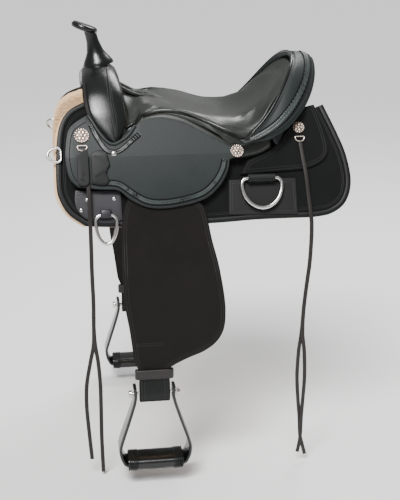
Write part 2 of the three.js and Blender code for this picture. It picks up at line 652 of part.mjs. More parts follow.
addFork();
addHorn();
addSeat();
addCantleRoll();
addBars();
addSkirts();
addJockeys();
addRigging();
addFenders();
addLeathers();
addStirrups();
addTrim();
add("front_string_a", lace(FRONT_STRING_A, jockeySide), LACE);
add("front_string_b", lace(FRONT_STRING_B, jockeySide), LACE);
add("rear_string_a", lace(REAR_STRING_A, skirtSide), LACE);
add("rear_string_b", lace(REAR_STRING_B, skirtSide), LACE);

export default saddle;
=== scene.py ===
"""Western saddle: leather, cloth, wool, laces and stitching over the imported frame.

Metres, +Z up, horn at -X, the saddle's left side at -Y. The right side mirrors the left one.
"""

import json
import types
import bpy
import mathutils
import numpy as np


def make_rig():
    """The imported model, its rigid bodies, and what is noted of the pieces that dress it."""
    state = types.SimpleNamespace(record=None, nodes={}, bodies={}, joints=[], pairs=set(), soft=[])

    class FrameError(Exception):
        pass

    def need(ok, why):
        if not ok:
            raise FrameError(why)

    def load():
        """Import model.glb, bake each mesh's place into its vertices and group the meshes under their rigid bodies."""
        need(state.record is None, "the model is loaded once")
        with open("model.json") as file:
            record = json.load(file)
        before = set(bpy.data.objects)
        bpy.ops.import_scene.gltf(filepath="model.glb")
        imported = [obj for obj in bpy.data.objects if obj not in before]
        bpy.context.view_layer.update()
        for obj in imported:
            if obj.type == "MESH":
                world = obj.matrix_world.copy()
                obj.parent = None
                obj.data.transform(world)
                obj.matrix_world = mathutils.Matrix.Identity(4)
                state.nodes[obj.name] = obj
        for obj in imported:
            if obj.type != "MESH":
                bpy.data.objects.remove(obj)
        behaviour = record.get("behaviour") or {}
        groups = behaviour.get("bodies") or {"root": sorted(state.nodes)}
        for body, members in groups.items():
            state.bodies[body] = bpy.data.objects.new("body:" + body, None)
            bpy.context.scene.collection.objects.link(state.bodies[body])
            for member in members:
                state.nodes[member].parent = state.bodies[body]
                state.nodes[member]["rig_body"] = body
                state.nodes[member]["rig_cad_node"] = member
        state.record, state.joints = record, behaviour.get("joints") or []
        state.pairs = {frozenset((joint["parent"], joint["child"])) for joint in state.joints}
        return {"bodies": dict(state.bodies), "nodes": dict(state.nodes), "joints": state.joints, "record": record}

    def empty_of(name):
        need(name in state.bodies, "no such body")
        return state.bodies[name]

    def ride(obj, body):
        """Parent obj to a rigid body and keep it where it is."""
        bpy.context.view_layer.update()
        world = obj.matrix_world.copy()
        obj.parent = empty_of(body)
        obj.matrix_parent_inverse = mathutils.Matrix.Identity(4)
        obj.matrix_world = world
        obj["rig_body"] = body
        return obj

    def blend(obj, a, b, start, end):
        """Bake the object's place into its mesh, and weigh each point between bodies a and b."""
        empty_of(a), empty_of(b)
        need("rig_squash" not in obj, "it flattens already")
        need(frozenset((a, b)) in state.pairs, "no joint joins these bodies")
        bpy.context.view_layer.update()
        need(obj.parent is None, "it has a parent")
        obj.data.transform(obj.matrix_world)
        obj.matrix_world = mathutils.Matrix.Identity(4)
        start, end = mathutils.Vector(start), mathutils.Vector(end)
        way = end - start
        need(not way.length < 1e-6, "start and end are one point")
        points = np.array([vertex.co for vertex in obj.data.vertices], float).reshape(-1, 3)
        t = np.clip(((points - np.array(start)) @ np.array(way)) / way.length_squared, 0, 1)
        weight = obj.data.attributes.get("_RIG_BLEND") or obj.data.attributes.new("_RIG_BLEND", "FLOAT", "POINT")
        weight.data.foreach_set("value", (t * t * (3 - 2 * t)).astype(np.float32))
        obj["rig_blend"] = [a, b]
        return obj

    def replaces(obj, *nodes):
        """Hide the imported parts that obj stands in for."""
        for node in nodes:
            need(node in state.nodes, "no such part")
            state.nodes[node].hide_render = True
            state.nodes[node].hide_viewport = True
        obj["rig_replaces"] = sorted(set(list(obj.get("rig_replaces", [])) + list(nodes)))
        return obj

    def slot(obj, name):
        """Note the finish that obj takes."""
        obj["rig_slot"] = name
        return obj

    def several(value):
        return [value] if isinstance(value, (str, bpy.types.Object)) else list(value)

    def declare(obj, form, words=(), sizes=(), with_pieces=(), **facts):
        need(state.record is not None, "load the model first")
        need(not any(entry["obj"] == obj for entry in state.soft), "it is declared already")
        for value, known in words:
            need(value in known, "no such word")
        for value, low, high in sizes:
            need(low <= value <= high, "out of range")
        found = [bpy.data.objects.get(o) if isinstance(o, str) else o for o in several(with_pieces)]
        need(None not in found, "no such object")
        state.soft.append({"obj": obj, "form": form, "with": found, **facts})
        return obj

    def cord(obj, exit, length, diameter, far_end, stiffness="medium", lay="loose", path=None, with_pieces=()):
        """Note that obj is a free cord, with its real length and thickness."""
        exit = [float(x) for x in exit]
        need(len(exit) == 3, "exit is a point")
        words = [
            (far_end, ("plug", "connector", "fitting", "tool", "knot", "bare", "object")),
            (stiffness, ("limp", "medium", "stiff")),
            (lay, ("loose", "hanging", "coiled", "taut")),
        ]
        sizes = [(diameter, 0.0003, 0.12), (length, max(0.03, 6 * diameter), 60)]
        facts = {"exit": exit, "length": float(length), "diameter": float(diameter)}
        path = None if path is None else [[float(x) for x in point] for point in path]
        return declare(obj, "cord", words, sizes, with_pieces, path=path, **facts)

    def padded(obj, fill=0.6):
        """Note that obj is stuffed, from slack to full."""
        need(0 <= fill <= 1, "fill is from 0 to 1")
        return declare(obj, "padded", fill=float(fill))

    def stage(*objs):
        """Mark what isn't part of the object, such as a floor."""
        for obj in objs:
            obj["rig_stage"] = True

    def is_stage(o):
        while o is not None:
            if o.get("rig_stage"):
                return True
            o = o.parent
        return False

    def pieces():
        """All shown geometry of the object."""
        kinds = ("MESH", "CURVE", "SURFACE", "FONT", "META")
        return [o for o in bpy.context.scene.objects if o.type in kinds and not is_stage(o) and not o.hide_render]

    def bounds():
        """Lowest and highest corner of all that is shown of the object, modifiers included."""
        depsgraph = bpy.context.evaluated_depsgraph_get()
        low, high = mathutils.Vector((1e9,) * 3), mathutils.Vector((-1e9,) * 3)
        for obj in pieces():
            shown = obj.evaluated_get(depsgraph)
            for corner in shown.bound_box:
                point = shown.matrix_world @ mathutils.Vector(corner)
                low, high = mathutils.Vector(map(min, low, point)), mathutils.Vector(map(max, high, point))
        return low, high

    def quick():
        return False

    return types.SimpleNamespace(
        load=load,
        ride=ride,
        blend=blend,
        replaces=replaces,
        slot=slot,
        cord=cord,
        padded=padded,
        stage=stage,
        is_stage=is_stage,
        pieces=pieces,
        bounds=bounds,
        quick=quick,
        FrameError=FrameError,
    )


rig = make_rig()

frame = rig.load()

import json
import logging
import math
from collections.abc import Callable, Sequence
from dataclasses import dataclass, field
from enum import Enum

import bmesh
import bpy
import numpy as np
from mathutils import Vector, noise

log = logging.getLogger("saddle")

MM = 0.001
SAMPLE = 0.0005  # a small step: points nearer than this are one, and slopes are taken over it
AHEAD = 0.12  # how far the seat runs on in front of its measured part, as a share of its length
Points = Sequence[tuple[float, ...]]
SideSurface = Callable[[np.ndarray], np.ndarray]


class Side(Enum):
    """Side of the saddle, with the sign that left-side Y values are multiplied by."""

    LEFT = 1
    RIGHT = -1

    @property
    def word(self) -> str:
        """The word used in names."""
        return self.name.lower()


# ---------------------------------------------------------------- shapes
@dataclass
class Shape:
    """Vertices and faces that aren't yet an object.

    Args:
        verts: An (n, 3) array in metres.
        faces: Tuples of vertex numbers.
    """

    verts: np.ndarray
    faces: list[tuple[int, ...]]

    def placed(self, move: Callable[[np.ndarray], np.ndarray]) -> "Shape":
        """Return this shape with every vertex moved."""
        return Shape(move(self.verts), self.faces)

    def on(self, side: Side) -> "Shape":
        """Return the left-side shape on the wanted side.

        Args:
            side: Left keeps the shape, right mirrors it.

        Returns:
            The shape itself or its mirror image.
        """
        if side is Side.LEFT:
            return self
        return Shape(self.verts * np.array([1, -1, 1]), [f[::-1] for f in self.faces])


def joined(shapes: Sequence[Shape]) -> Shape:
    """Put several shapes in one.

    Args:
        shapes: The shapes, at least one.

    Returns:
        One shape with all their vertices and faces.
    """
    verts, faces, start = [], [], 0
    for shape in shapes:
        verts.append(shape.verts)
        faces += [tuple(i + start for i in face) for face in shape.faces]
        start += len(shape.verts)
    return Shape(np.concatenate(verts), faces)


def unit(vectors: np.ndarray) -> np.ndarray:
    """Scale each row to length one."""
    return vectors / np.maximum(np.linalg.norm(vectors, axis=-1, keepdims=True), 1e-12)


def mm(points: Points) -> np.ndarray:
    """Turn a list in millimetres into an array in metres."""
    return np.array(points, float) * MM


def spline(points: np.ndarray, per: int = 10) -> np.ndarray:
    """Run a smooth curve through points.

    Args:
        points: An (n, d) array.
        per: Samples between two points.

    Returns:
        The samples, both ends included.
    """
    if len(points) < 3:
        return points
    ext = np.vstack([points[:1], points, points[-1:]])
    out = []
    for a, b, c, d in zip(ext, ext[1:], ext[2:], ext[3:]):
        for t in np.arange(per) / per:
            v0, v1 = (c - a) / 2, (d - b) / 2
            cubic = (2 * b - 2 * c + v0 + v1) * t**3
            out.append(cubic + (-3 * b + 3 * c - 2 * v0 - v1) * t**2 + v0 * t + b)
    return np.array([*out, points[-1]])


def outline(*runs: Points) -> np.ndarray:
    """Close smooth runs, given in millimetres, to one outline with a corner between runs.

    Args:
        runs: Lists of (x, z) points.

    Returns:
        The outline, without repeated points.
    """
    points = np.concatenate([spline(mm(run)) for run in runs])
    step = np.linalg.norm(points - np.roll(points, -1, axis=0), axis=1)
    return points[step > SAMPLE]


def even(path: np.ndarray, pitch: float) -> np.ndarray:
    """Sample a path at even distances close to pitch.

    Args:
        path: An (n, d) array.
        pitch: The wanted distance between samples.

    Returns:
        The samples, both ends included.
    """
    gone = np.concatenate([[0], np.cumsum(np.linalg.norm(np.diff(path, axis=0), axis=1))])
    count = max(2, round(gone[-1] / pitch) + 1)
    at = np.linspace(0, gone[-1], count)
    return np.stack([np.interp(at, gone, path[:, k]) for k in range(path.shape[1])], axis=1)


def inset(loop: np.ndarray, distance: float) -> np.ndarray:
    """Offset a closed flat outline inwards.

    Args:
        loop: An (n, 2) outline.
        distance: How far in.

    Returns:
        The points that stay that far from the whole outline, closed.
    """
    loop = even(np.vstack([loop, loop[:1]]), 0.002)[:-1]
    along = unit(np.roll(loop, -1, axis=0) - np.roll(loop, 1, axis=0))
    area = np.sum(loop[:, 0] * np.roll(loop[:, 1], -1) - np.roll(loop[:, 0], -1) * loop[:, 1])
    normal = np.stack([-along[:, 1], along[:, 0]], axis=1) * np.sign(area)
    moved = loop + normal * distance
    near = np.min(np.linalg.norm(moved[:, None] - loop[None], axis=2), axis=1)
    kept = moved[near > 0.96 * distance]
    return np.vstack([kept, kept[:1]])


def oval(width: float, thick: float, count: int = 10, power: float = 2.6) -> np.ndarray:
    """Rounded section: a superellipse as (across, out) points.

    Args:
        width: Full size across.
        thick: Full size outwards.
        count: Number of points.
        power: 2 gives an ellipse, more a squarer section.

    Returns:
        A (count, 2) array.
    """
    a = np.arange(count) / count * 2 * math.pi
    bend = lambda v: np.sign(v) * np.abs(v) ** (2 / power)
    return np.stack([bend(np.cos(a)) * width / 2, bend(np.sin(a)) * thick / 2], axis=1)


def sweep(
    path: np.ndarray,
    out: np.ndarray,
    section: np.ndarray,
    closed: bool = False,
    widths: np.ndarray | None = None,
) -> Shape:
    """Run a section along a path.

    Args:
        path: An (n, 3) line.
        out: The outward direction at each point.
        section: (across, out) points.
        closed: Whether the path's end joins its start.
        widths: Factor on the section's width at each point.

    Returns:
        The swept solid, capped if it is open.
    """
    if closed and np.linalg.norm(path[0] - path[-1]) < SAMPLE:
        path, out = path[:-1], out[:-1]
    n, k = len(path), len(section)
    if closed:
        along = np.roll(path, -1, axis=0) - np.roll(path, 1, axis=0)
    else:
        along = np.gradient(path, axis=0)
    along = unit(along)
    across = unit(np.cross(out, along))
    up = np.cross(along, across)
    wide = np.ones(n) if widths is None else widths
    verts = (
        path[:, None]
        + across[:, None] * (section[None, :, :1] * wide[:, None, None])
        + up[:, None] * section[None, :, 1:]
    ).reshape(-1, 3)
    faces = []
    for i in range(n if closed else n - 1):
        j = (i + 1) % n
        faces += [
            (i * k + m, i * k + (m + 1) % k, j * k + (m + 1) % k, j * k + m) for m in range(k)
        ]
    if not closed:
        faces += [tuple(range(k))[::-1], tuple((n - 1) * k + m for m in range(k))]
    return Shape(verts, faces)


def turned(profile: Points, count: int = 32) -> Shape:
    """Turn (radius, height) points, in millimetres, round +Z.

    Args:
        profile: Points from one end of the axis to the other.
        count: Steps of the turn.

    Returns:
        The closed shape.
    """
    rings = mm(profile)
    a = np.arange(count) / count * 2 * math.pi
    ring = np.stack([np.cos(a), np.sin(a), np.zeros(count)], axis=1)
    verts = np.concatenate([ring * r + np.array([0, 0, h]) for r, h in rings])
    faces = []
    for i in range(len(rings) - 1):
        faces += [
            (
                i * count + m,
                i * count + (m + 1) % count,
                (i + 1) * count + (m + 1) % count,
                (i + 1) * count + m,
            )
            for m in range(count)
        ]
    last = (len(rings) - 1) * count
    faces += [tuple(range(count))[::-1], tuple(last + m for m in range(count))]
    return Shape(verts, faces)


def slab(upper: np.ndarray, lower: np.ndarray) -> Shape:
    """Close two facing grids of points, each (rows, columns, 3), to a solid.

    Args:
        upper: Points of the outer face.
        lower: Points of the inner face.

    Returns:
        The closed shape.
    """
    rows, columns = upper.shape[:2]
    at = lambda i, j, k: k * rows * columns + i * columns + j
    faces = []
    for i in range(rows - 1):
        for j in range(columns - 1):
            quad = [(i, j), (i, j + 1), (i + 1, j + 1), (i + 1, j)]
            faces.append(tuple(at(a, b, 0) for a, b in reversed(quad)))
            faces.append(tuple(at(a, b, 1) for a, b in quad))
    ring = [(0, j) for j in range(columns)] + [(i, columns - 1) for i in range(1, rows)]
    ring += [(rows - 1, j) for j in range(columns - 2, -1, -1)] + [(i, 0) for i in range(rows - 2, 0, -1)]
    for (a, b), (c, d) in zip(ring, ring[1:] + ring[:1]):
        faces.append((at(a, b, 0), at(c, d, 0), at(c, d, 1), at(a, b, 1)))
    return Shape(np.concatenate([upper.reshape(-1, 3), lower.reshape(-1, 3)]), faces)


def bead(centre: np.ndarray, axes: np.ndarray, count: int = 8) -> Shape:
    """Low dome or pebble.

    Args:
        centre: Its middle.
        axes: Three half axes as rows, the last one outwards.
        count: Sides of its rings.

    Returns:
        An upper half and a shallow lower half of an ellipsoid.
    """
    a = np.arange(count) / count * 2 * math.pi
    verts = [centre - axes[2] * 0.4]
    for level, radius in ((0.0, 1.0), (0.6, 0.75)):
        verts += [
            centre + axes[0] * math.cos(t) * radius + axes[1] * math.sin(t) * radius + axes[2] * level
            for t in a
        ]
    verts.append(centre + axes[2])
    faces = []
    for m in range(count):
        n = (m + 1) % count
        faces += [
            (0, 1 + n, 1 + m),
            (1 + m, 1 + n, 1 + count + n, 1 + count + m),
            (1 + count + m, 1 + count + n, 1 + 2 * count),
        ]
    return Shape(np.array(verts), faces)


def stitches(
    path: np.ndarray, out: np.ndarray, pitch: float = 0.0042, width: float = 0.0011
) -> Shape:
    """Row of thread stitches along a path.

    Args:
        path: An (n, 3) line on the surface.
        out: Outward directions along it.
        pitch: Distance from one stitch to the next.
        width: Width of the thread.

    Returns:
        One small raised bead for each stitch.
    """
    both = even(np.hstack([path, out]), pitch)
    spots, normals = both[:, :3], unit(both[:, 3:])
    along = unit(np.gradient(spots, axis=0))
    rows = []
    for spot, normal, forward in zip(spots, normals, along):
        side = np.cross(normal, forward)
        axes = np.array([forward * pitch * 0.38, side * width / 2, normal * width * 0.55])
        rows.append(bead(spot, axes, 6))
    return joined(rows)


# ---------------------------------------------------------------- the saddle's side surfaces
def skirt_side(z: np.ndarray) -> np.ndarray:
    """Half width of the skirts' outer face at height z."""
    rise = z + 0.150
    return 0.236 - 0.36 * rise - 0.7 * rise * rise


def jockey_side(z: np.ndarray) -> np.ndarray:
    """Half width of the jockeys' inner face at height z."""
    return skirt_side(z) + 0.022 + 0.085 * np.minimum(0, z)


def fender_side(z: np.ndarray) -> np.ndarray:
    """Half width of the fenders' middle at height z: straight, then a bend, then upright.

    Args:
        z: Heights in metres.

    Returns:
        Distances from the middle plane in metres.
    """
    run = np.clip(-0.172 - z, 0, 0.060)
    straight = 0.2245 + 0.46 * (-0.100 - np.maximum(z, -0.172))
    return straight + 0.46 * run - 0.46 * run * run / 0.120


def on_side(side: SideSurface, flat: np.ndarray, height: float | np.ndarray) -> np.ndarray:
    """Lay (x, z) points on a side surface of the left side, lifted by height.

    Args:
        side: The surface as y over x and z.
        flat: An (n, 2) array in metres.
        height: Distance out of the surface in metres.

    Returns:
        An (n, 3) array.
    """
    x, z = flat[:, 0], flat[:, 1]
    slope = (side(z + SAMPLE) - side(z - SAMPLE)) / (2 * SAMPLE)
    scale = height / np.hypot(1, slope)
    return np.stack([x, -(side(z) + scale), z - slope * scale], axis=1)


def out_of(side: SideSurface, flat: np.ndarray) -> np.ndarray:
    """Outward directions of a side surface at (x, z) points."""
    return unit(on_side(side, flat, 0.001) - on_side(side, flat, 0.0))


def seated(shape: Shape, side: SideSurface, x: float, z: float, height: float) -> Shape:
    """Put a shape made with +Z outwards and +Y up on a side surface at (x, z), in millimetres.

    Args:
        shape: The shape to put there.
        side: The surface to stand on.
        x: Place along the saddle.
        z: Height of the place.
        height: Distance out of the surface.

    Returns:
        The turned and moved shape.
    """
    spot = mm([(x, z)])
    at = on_side(side, spot, height * MM)[0]
    normal = out_of(side, spot)[0]
    along = np.array([1.0, 0.0, 0.0])
    basis = np.array([along, np.cross(normal, along), normal])
    return shape.placed(lambda v: v @ basis + at)


def panel(
    loop: np.ndarray,
    side: SideSurface,
    height: float,
    thick: float,
    edge: float = 0.0012,
    cell: tuple[float, float] = (0.03, 0.008),
) -> Shape:
    """Sheet with rounded edges, cut to an outline and laid on a side surface.

    Args:
        loop: The (x, z) outline.
        side: The side surface it lies on.
        height: Height of its inner face over the surface.
        thick: Its thickness.
        edge: Radius of its edges.
        cell: Longest cell in x and z before it is laid.

    Returns:
        The closed sheet on the left side.
    """
    curve = bpy.data.curves.new("cut", "CURVE")
    curve.dimensions, curve.fill_mode = "2D", "BOTH"
    curve.extrude, curve.bevel_depth = thick / 2 - edge, edge
    curve.bevel_resolution, curve.offset = 2, -edge
    run = curve.splines.new("POLY")
    run.points.add(len(loop) - 1)
    run.use_cyclic_u = True
    for point, (x, z) in zip(run.points, loop):
        point.co = (x, z, 0, 1)
    holder = bpy.data.objects.new("cut", curve)
    bpy.context.scene.collection.objects.link(holder)
    flat = bpy.data.meshes.new_from_object(
        holder.evaluated_get(bpy.context.evaluated_depsgraph_get())
    )
    bpy.data.objects.remove(holder)
    bpy.data.curves.remove(curve)
    work = bmesh.new()
    work.from_mesh(flat)
    bpy.data.meshes.remove(flat)
    bmesh.ops.remove_doubles(work, verts=work.verts, dist=1e-6)
    for axis in (0, 1):
        low, high = loop[:, axis].min(), loop[:, axis].max()
        normal = Vector((1, 0, 0)) if axis == 0 else Vector((0, 1, 0))
        for at in np.arange(low + cell[axis], high, cell[axis]):
            everything = [*work.verts, *work.edges, *work.faces]
            bmesh.ops.bisect_plane(work, geom=everything, plane_co=normal * at, plane_no=normal)
    work.verts.index_update()
    co = np.array([v.co for v in work.verts])
    faces = [tuple(v.index for v in face.verts) for face in work.faces]
    work.free()
    return Shape(on_side(side, co[:, :2], height + thick / 2 + co[:, 2]), faces)


def line_on(side: SideSurface, flat: np.ndarray, height: float) -> tuple[np.ndarray, np.ndarray]:
    """Path and outward directions of a flat line laid on a side surface."""
    return on_side(side, flat, height), out_of(side, flat)


# ---------------------------------------------------------------- shader effects
class Effect(Enum):
    """Shader node groups shared by the finishes."""

    GRAIN = "Leather grain"
    WEAVE = "Plain weave"
    TONE = "Uneven tone"


class EffectLibrary:
    """Builds each shader node group once."""

    def __init__(self) -> None:
        """Start with no group made."""
        self.made: dict[Effect, bpy.types.NodeTree] = {}

    def get(self, effect: Effect) -> bpy.types.NodeTree:
        """Return the group of an effect, building it at first use.

        Args:
            effect: The wanted effect.

        Returns:
            The group, the same one each time.
        """
        if effect not in self.made:
            build = {Effect.GRAIN: self._grain, Effect.WEAVE: self._weave, Effect.TONE: self._tone}
            self.made[effect] = build[effect](bpy.data.node_groups.new(effect.value, "ShaderNodeTree"))
            log.info("effect %s", effect.value)
        return self.made[effect]

    @staticmethod
    def _sockets(tree: bpy.types.NodeTree, inputs: dict[str, float], outputs: dict[str, str]) -> None:
        """Add the sockets of a group.

        Args:
            tree: The group.
            inputs: Names and default values.
            outputs: Names and socket kinds.
        """
        for name, value in inputs.items():
            kind = "NodeSocketColor" if isinstance(value, tuple) else "NodeSocketFloat"
            socket = tree.interface.new_socket(name, in_out="INPUT", socket_type=kind)
            socket.default_value = value
        for name, kind in outputs.items():
            tree.interface.new_socket(name, in_out="OUTPUT", socket_type=kind)

    def _grain(self, tree: bpy.types.NodeTree) -> bpy.types.NodeTree:
        """Fill the leather grain.

        Args:
            tree: The empty group.

        Returns:
            The group, with the height of a pebbled leather.
        """
        self._sockets(tree, {"Scale": 500.0}, {"Height": "NodeSocketFloat"})
        add, link = tree.nodes.new, tree.links.new
        inside, outside = add("NodeGroupInput"), add("NodeGroupOutput")
        place, cells = add("ShaderNodeTexCoord"), add("ShaderNodeTexVoronoi")
        fine, total = add("ShaderNodeTexNoise"), add("ShaderNodeMath")
        cells.feature = "SMOOTH_F1"
        fine.inputs["Scale"].default_value = 1400
        total.operation = "MULTIPLY_ADD"
        total.inputs[1].default_value = 0.35
        link(place.outputs["Object"], cells.inputs["Vector"])
        link(place.outputs["Object"], fine.inputs["Vector"])
        link(inside.outputs["Scale"], cells.inputs["Scale"])
        link(fine.outputs["Fac"], total.inputs[0])
        link(cells.outputs["Distance"], total.inputs[2])
        link(total.outputs[0], outside.inputs["Height"])
        return tree

    def _weave(self, tree: bpy.types.NodeTree) -> bpy.types.NodeTree:
        """Fill the weave of the cloth.

        Args:
            tree: The empty group.

        Returns:
            The group, with the height of a plain cloth.
        """
        self._sockets(tree, {"Scale": 700.0}, {"Height": "NodeSocketFloat"})
        add, link = tree.nodes.new, tree.links.new
        inside, outside = add("NodeGroupInput"), add("NodeGroupOutput")
        place, total = add("ShaderNodeTexCoord"), add("ShaderNodeMath")
        total.operation = "ADD"
        for index, direction in enumerate(("X", "Z")):
            wave = add("ShaderNodeTexWave")
            wave.bands_direction = direction
            wave.inputs["Distortion"].default_value = 1.5
            link(place.outputs["Object"], wave.inputs["Vector"])
            link(inside.outputs["Scale"], wave.inputs["Scale"])
            link(wave.outputs["Fac"], total.inputs[index])
        link(total.outputs[0], outside.inputs["Height"])
        return tree

    def _tone(self, tree: bpy.types.NodeTree) -> bpy.types.NodeTree:
        """Fill the uneven tone.

        Args:
            tree: The empty group.

        Returns:
            The group, with a colour and a roughness that vary a little.
        """
        inputs = {"Colour": (0.1, 0.1, 0.1, 1), "Worn": (0.2, 0.2, 0.2, 1), "Amount": 0.4, "Roughness": 0.5}
        self._sockets(tree, inputs, {"Colour": "NodeSocketColor", "Roughness": "NodeSocketFloat"})
        add, link = tree.nodes.new, tree.links.new
        inside, outside = add("NodeGroupInput"), add("NodeGroupOutput")
        place, patches = add("ShaderNodeTexCoord"), add("ShaderNodeTexNoise")
        share, blend, rough = add("ShaderNodeMath"), add("ShaderNodeMix"), add("ShaderNodeMath")
        patches.inputs["Scale"].default_value = 22
        patches.inputs["Detail"].default_value = 6
        share.operation = "MULTIPLY"
        blend.data_type = "RGBA"
        rough.operation = "MULTIPLY_ADD"
        rough.inputs[1].default_value = 0.18
        link(place.outputs["Object"], patches.inputs["Vector"])
        link(patches.outputs["Fac"], share.inputs[0])
        link(inside.outputs["Amount"], share.inputs[1])
        link(share.outputs[0], blend.inputs["Factor"])
        link(inside.outputs["Colour"], blend.inputs["A"])
        link(inside.outputs["Worn"], blend.inputs["B"])
        link(share.outputs[0], rough.inputs[0])
        link(inside.outputs["Roughness"], rough.inputs[2])
        link(blend.outputs["Result"], outside.inputs["Colour"])
        link(rough.outputs[0], outside.inputs["Roughness"])
        return tree


EFFECTS = EffectLibrary()


@dataclass(frozen=True)
class Finish:
    """One material.

    Args:
        name: Its name.
        colour: Base colour, linear.
        worn: Colour of its lighter patches.
        amount: How strong the patches are.
        roughness: Surface roughness.
        metallic: One for metal.
        coat: Clear coat weight.
        sheen: Sheen weight.
        specular: Level of the dielectric reflection.
        relief: The effect that gives its fine relief.
        relief_scale: Scale of that relief.
        relief_depth: Its depth in metres.
    """

    name: str
    colour: tuple[float, float, float]
    worn: tuple[float, float, float]
    amount: float = 0.5
    roughness: float = 0.5
    metallic: float = 0.0
    coat: float = 0.0
    sheen: float = 0.0
    specular: float = 0.4
    relief: Effect | None = Effect.GRAIN
    relief_scale: float = 500.0
    relief_depth: float = 0.0002

    def material(self) -> bpy.types.Material:
        """Return the Blender material, building it at first use.

        Returns:
            The material, the same one each time.
        """
        found = bpy.data.materials.get(self.name)
        if found:
            return found
        made = bpy.data.materials.new(self.name)
        made.use_nodes = True
        add, link = made.node_tree.nodes.new, made.node_tree.links.new
        shader = made.node_tree.nodes["Principled BSDF"]
        tone = add("ShaderNodeGroup")
        tone.node_tree = EFFECTS.get(Effect.TONE)
        tone.inputs["Colour"].default_value = (*self.colour, 1)
        tone.inputs["Worn"].default_value = (*self.worn, 1)
        tone.inputs["Amount"].default_value = self.amount
        tone.inputs["Roughness"].default_value = self.roughness
        link(tone.outputs["Colour"], shader.inputs["Base Color"])
        link(tone.outputs["Roughness"], shader.inputs["Roughness"])
        shader.inputs["Metallic"].default_value = self.metallic
        shader.inputs["Specular IOR Level"].default_value = 0.5 if self.metallic else self.specular
        shader.inputs["Coat Weight"].default_value = self.coat
        shader.inputs["Coat Roughness"].default_value = 0.3
        shader.inputs["Sheen Weight"].default_value = self.sheen
        if self.relief:
            relief, bump = add("ShaderNodeGroup"), add("ShaderNodeBump")
            relief.node_tree = EFFECTS.get(self.relief)
            relief.inputs["Scale"].default_value = self.relief_scale
            bump.inputs["Distance"].default_value = self.relief_depth
            link(relief.outputs["Height"], bump.inputs["Height"])
            link(bump.outputs["Normal"], shader.inputs["Normal"])
        log.info("finish %s", self.name)
        return made


JOCKEY = Finish("jockey leather", (0.0070, 0.0105, 0.0102), (0.018, 0.025, 0.024), 0.6, 0.42, specular=0.3)
# Painted shade: this dark finish stands in for the shade in the stamped recesses of the tooled bands and in the groove
# of the jockey's edge crease.
PAINTED_SHADE_LEATHER = Finish("stained leather", (0.003, 0.0035, 0.0035), (0.006, 0.007, 0.007), 0.4, 0.6, specular=0.15)
SMOOTH = Finish("glossy leather", (0.0030, 0.0034, 0.0034), (0.007, 0.008, 0.0078), 0.5, 0.18, coat=0.3)
SEAT = Finish("seat leather", (0.010, 0.0125, 0.0110), (0.034, 0.038, 0.030), 0.7, 0.30, coat=0.1)
STRAP = Finish("strap leather", (0.010, 0.009, 0.0085), (0.036, 0.030, 0.027), 0.5, 0.42)
RIGGING = Finish("rigging leather", (0.017, 0.016, 0.020), (0.038, 0.034, 0.042), 0.5, 0.38)
BINDING = Finish("binding leather", (0.0045, 0.005, 0.005), (0.012, 0.013, 0.0125), 0.4, 0.42, specular=0.25)
CORDURA = Finish(
    "skirt cloth", (0.0045, 0.005, 0.005), (0.014, 0.0145, 0.0145), 0.6, 0.75, specular=0.2,
    relief=Effect.WEAVE, relief_depth=0.0003,
)
FENDER_CLOTH = Finish(
    "fender cloth", (0.0065, 0.0058, 0.0056), (0.020, 0.0165, 0.0150), 0.7, 0.72, specular=0.2,
    relief=Effect.WEAVE, relief_depth=0.0003,
)
THREAD = Finish("thread", (0.030, 0.031, 0.030), (0.065, 0.065, 0.062), 0.5, 0.7, relief=None)
# Painted highlight: this finish is lighter than the leather round it and stands in for the light that the raised
# stamped marks catch.
PAINTED_HIGHLIGHT_LEATHER = Finish("burnished leather", (0.030, 0.040, 0.038), (0.070, 0.082, 0.078), 0.5, 0.25, coat=0.3)
LACE = Finish("latigo lace", (0.0075, 0.0055, 0.0050), (0.024, 0.018, 0.015), 0.5, 0.45)
WOOL = Finish(
    "wool", (0.82, 0.50, 0.25), (0.94, 0.68, 0.42), 0.7, 0.95, sheen=0.4,
    relief_scale=260.0, relief_depth=0.0012,
)
WOOD = Finish("tree wood", (0.42, 0.27, 0.14), (0.58, 0.40, 0.23), 0.7, 0.55, relief_scale=60.0)
STEEL = Finish("stainless steel", (0.72, 0.71, 0.69), (0.55, 0.54, 0.52), 0.4, 0.16, 1.0, relief=None)
SILVER = Finish("antique silver", (0.78, 0.66, 0.58), (0.52, 0.42, 0.36), 0.6, 0.25, 1.0, relief=None)
OXIDE = Finish("darkened silver", (0.10, 0.075, 0.062), (0.22, 0.17, 0.14), 0.6, 0.4, 1.0, relief=None)
# Dark leather of the rear rigging, and painted shade: the rope strap's hole and the latigo slit are dark shapes where
# there is only shade.
DARK_LEATHER_AND_SHADE = Finish("dark recess", (0.003, 0.003, 0.003), (0.006, 0.006, 0.006), 0.5, 0.7, relief=None)


# ---------------------------------------------------------------- objects
def piece(
    name: str,
    shape: Shape,
    finish: Finish,
    slot: str,
    body: str = "saddle",
    nodes: Sequence[str] = (),
    crease: float = 38.0,
    ride: bool = True,
) -> bpy.types.Object:
    """Make an object of a shape and put it on its body.

    Args:
        name: The object's name.
        shape: Its shape.
        finish: Its material.
        slot: The record's material slot.
        body: The body that it rides.
        nodes: CAD nodes that it stands for.
        crease: Angle over which an edge is sharp, in degrees.
        ride: False if the caller blends it between two bodies.

    Returns:
        The object.
    """
    mesh = bpy.data.meshes.new(name)
    mesh.from_pydata(shape.verts.tolist(), [], shape.faces)
    work = bmesh.new()
    work.from_mesh(mesh)
    bmesh.ops.recalc_face_normals(work, faces=work.faces)
    work.to_mesh(mesh)
    work.free()
    mesh.materials.append(finish.material())
    mesh.shade_smooth()
    mesh.set_sharp_from_angle(angle=math.radians(crease))
    made = bpy.data.objects.new(name, mesh)
    bpy.context.scene.collection.objects.link(made)
    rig.slot(made, slot)
    if ride:
        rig.ride(made, body)
    if nodes:
        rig.replaces(made, *nodes)
    log.info("piece %s: %d faces", name, len(mesh.polygons))
    return made


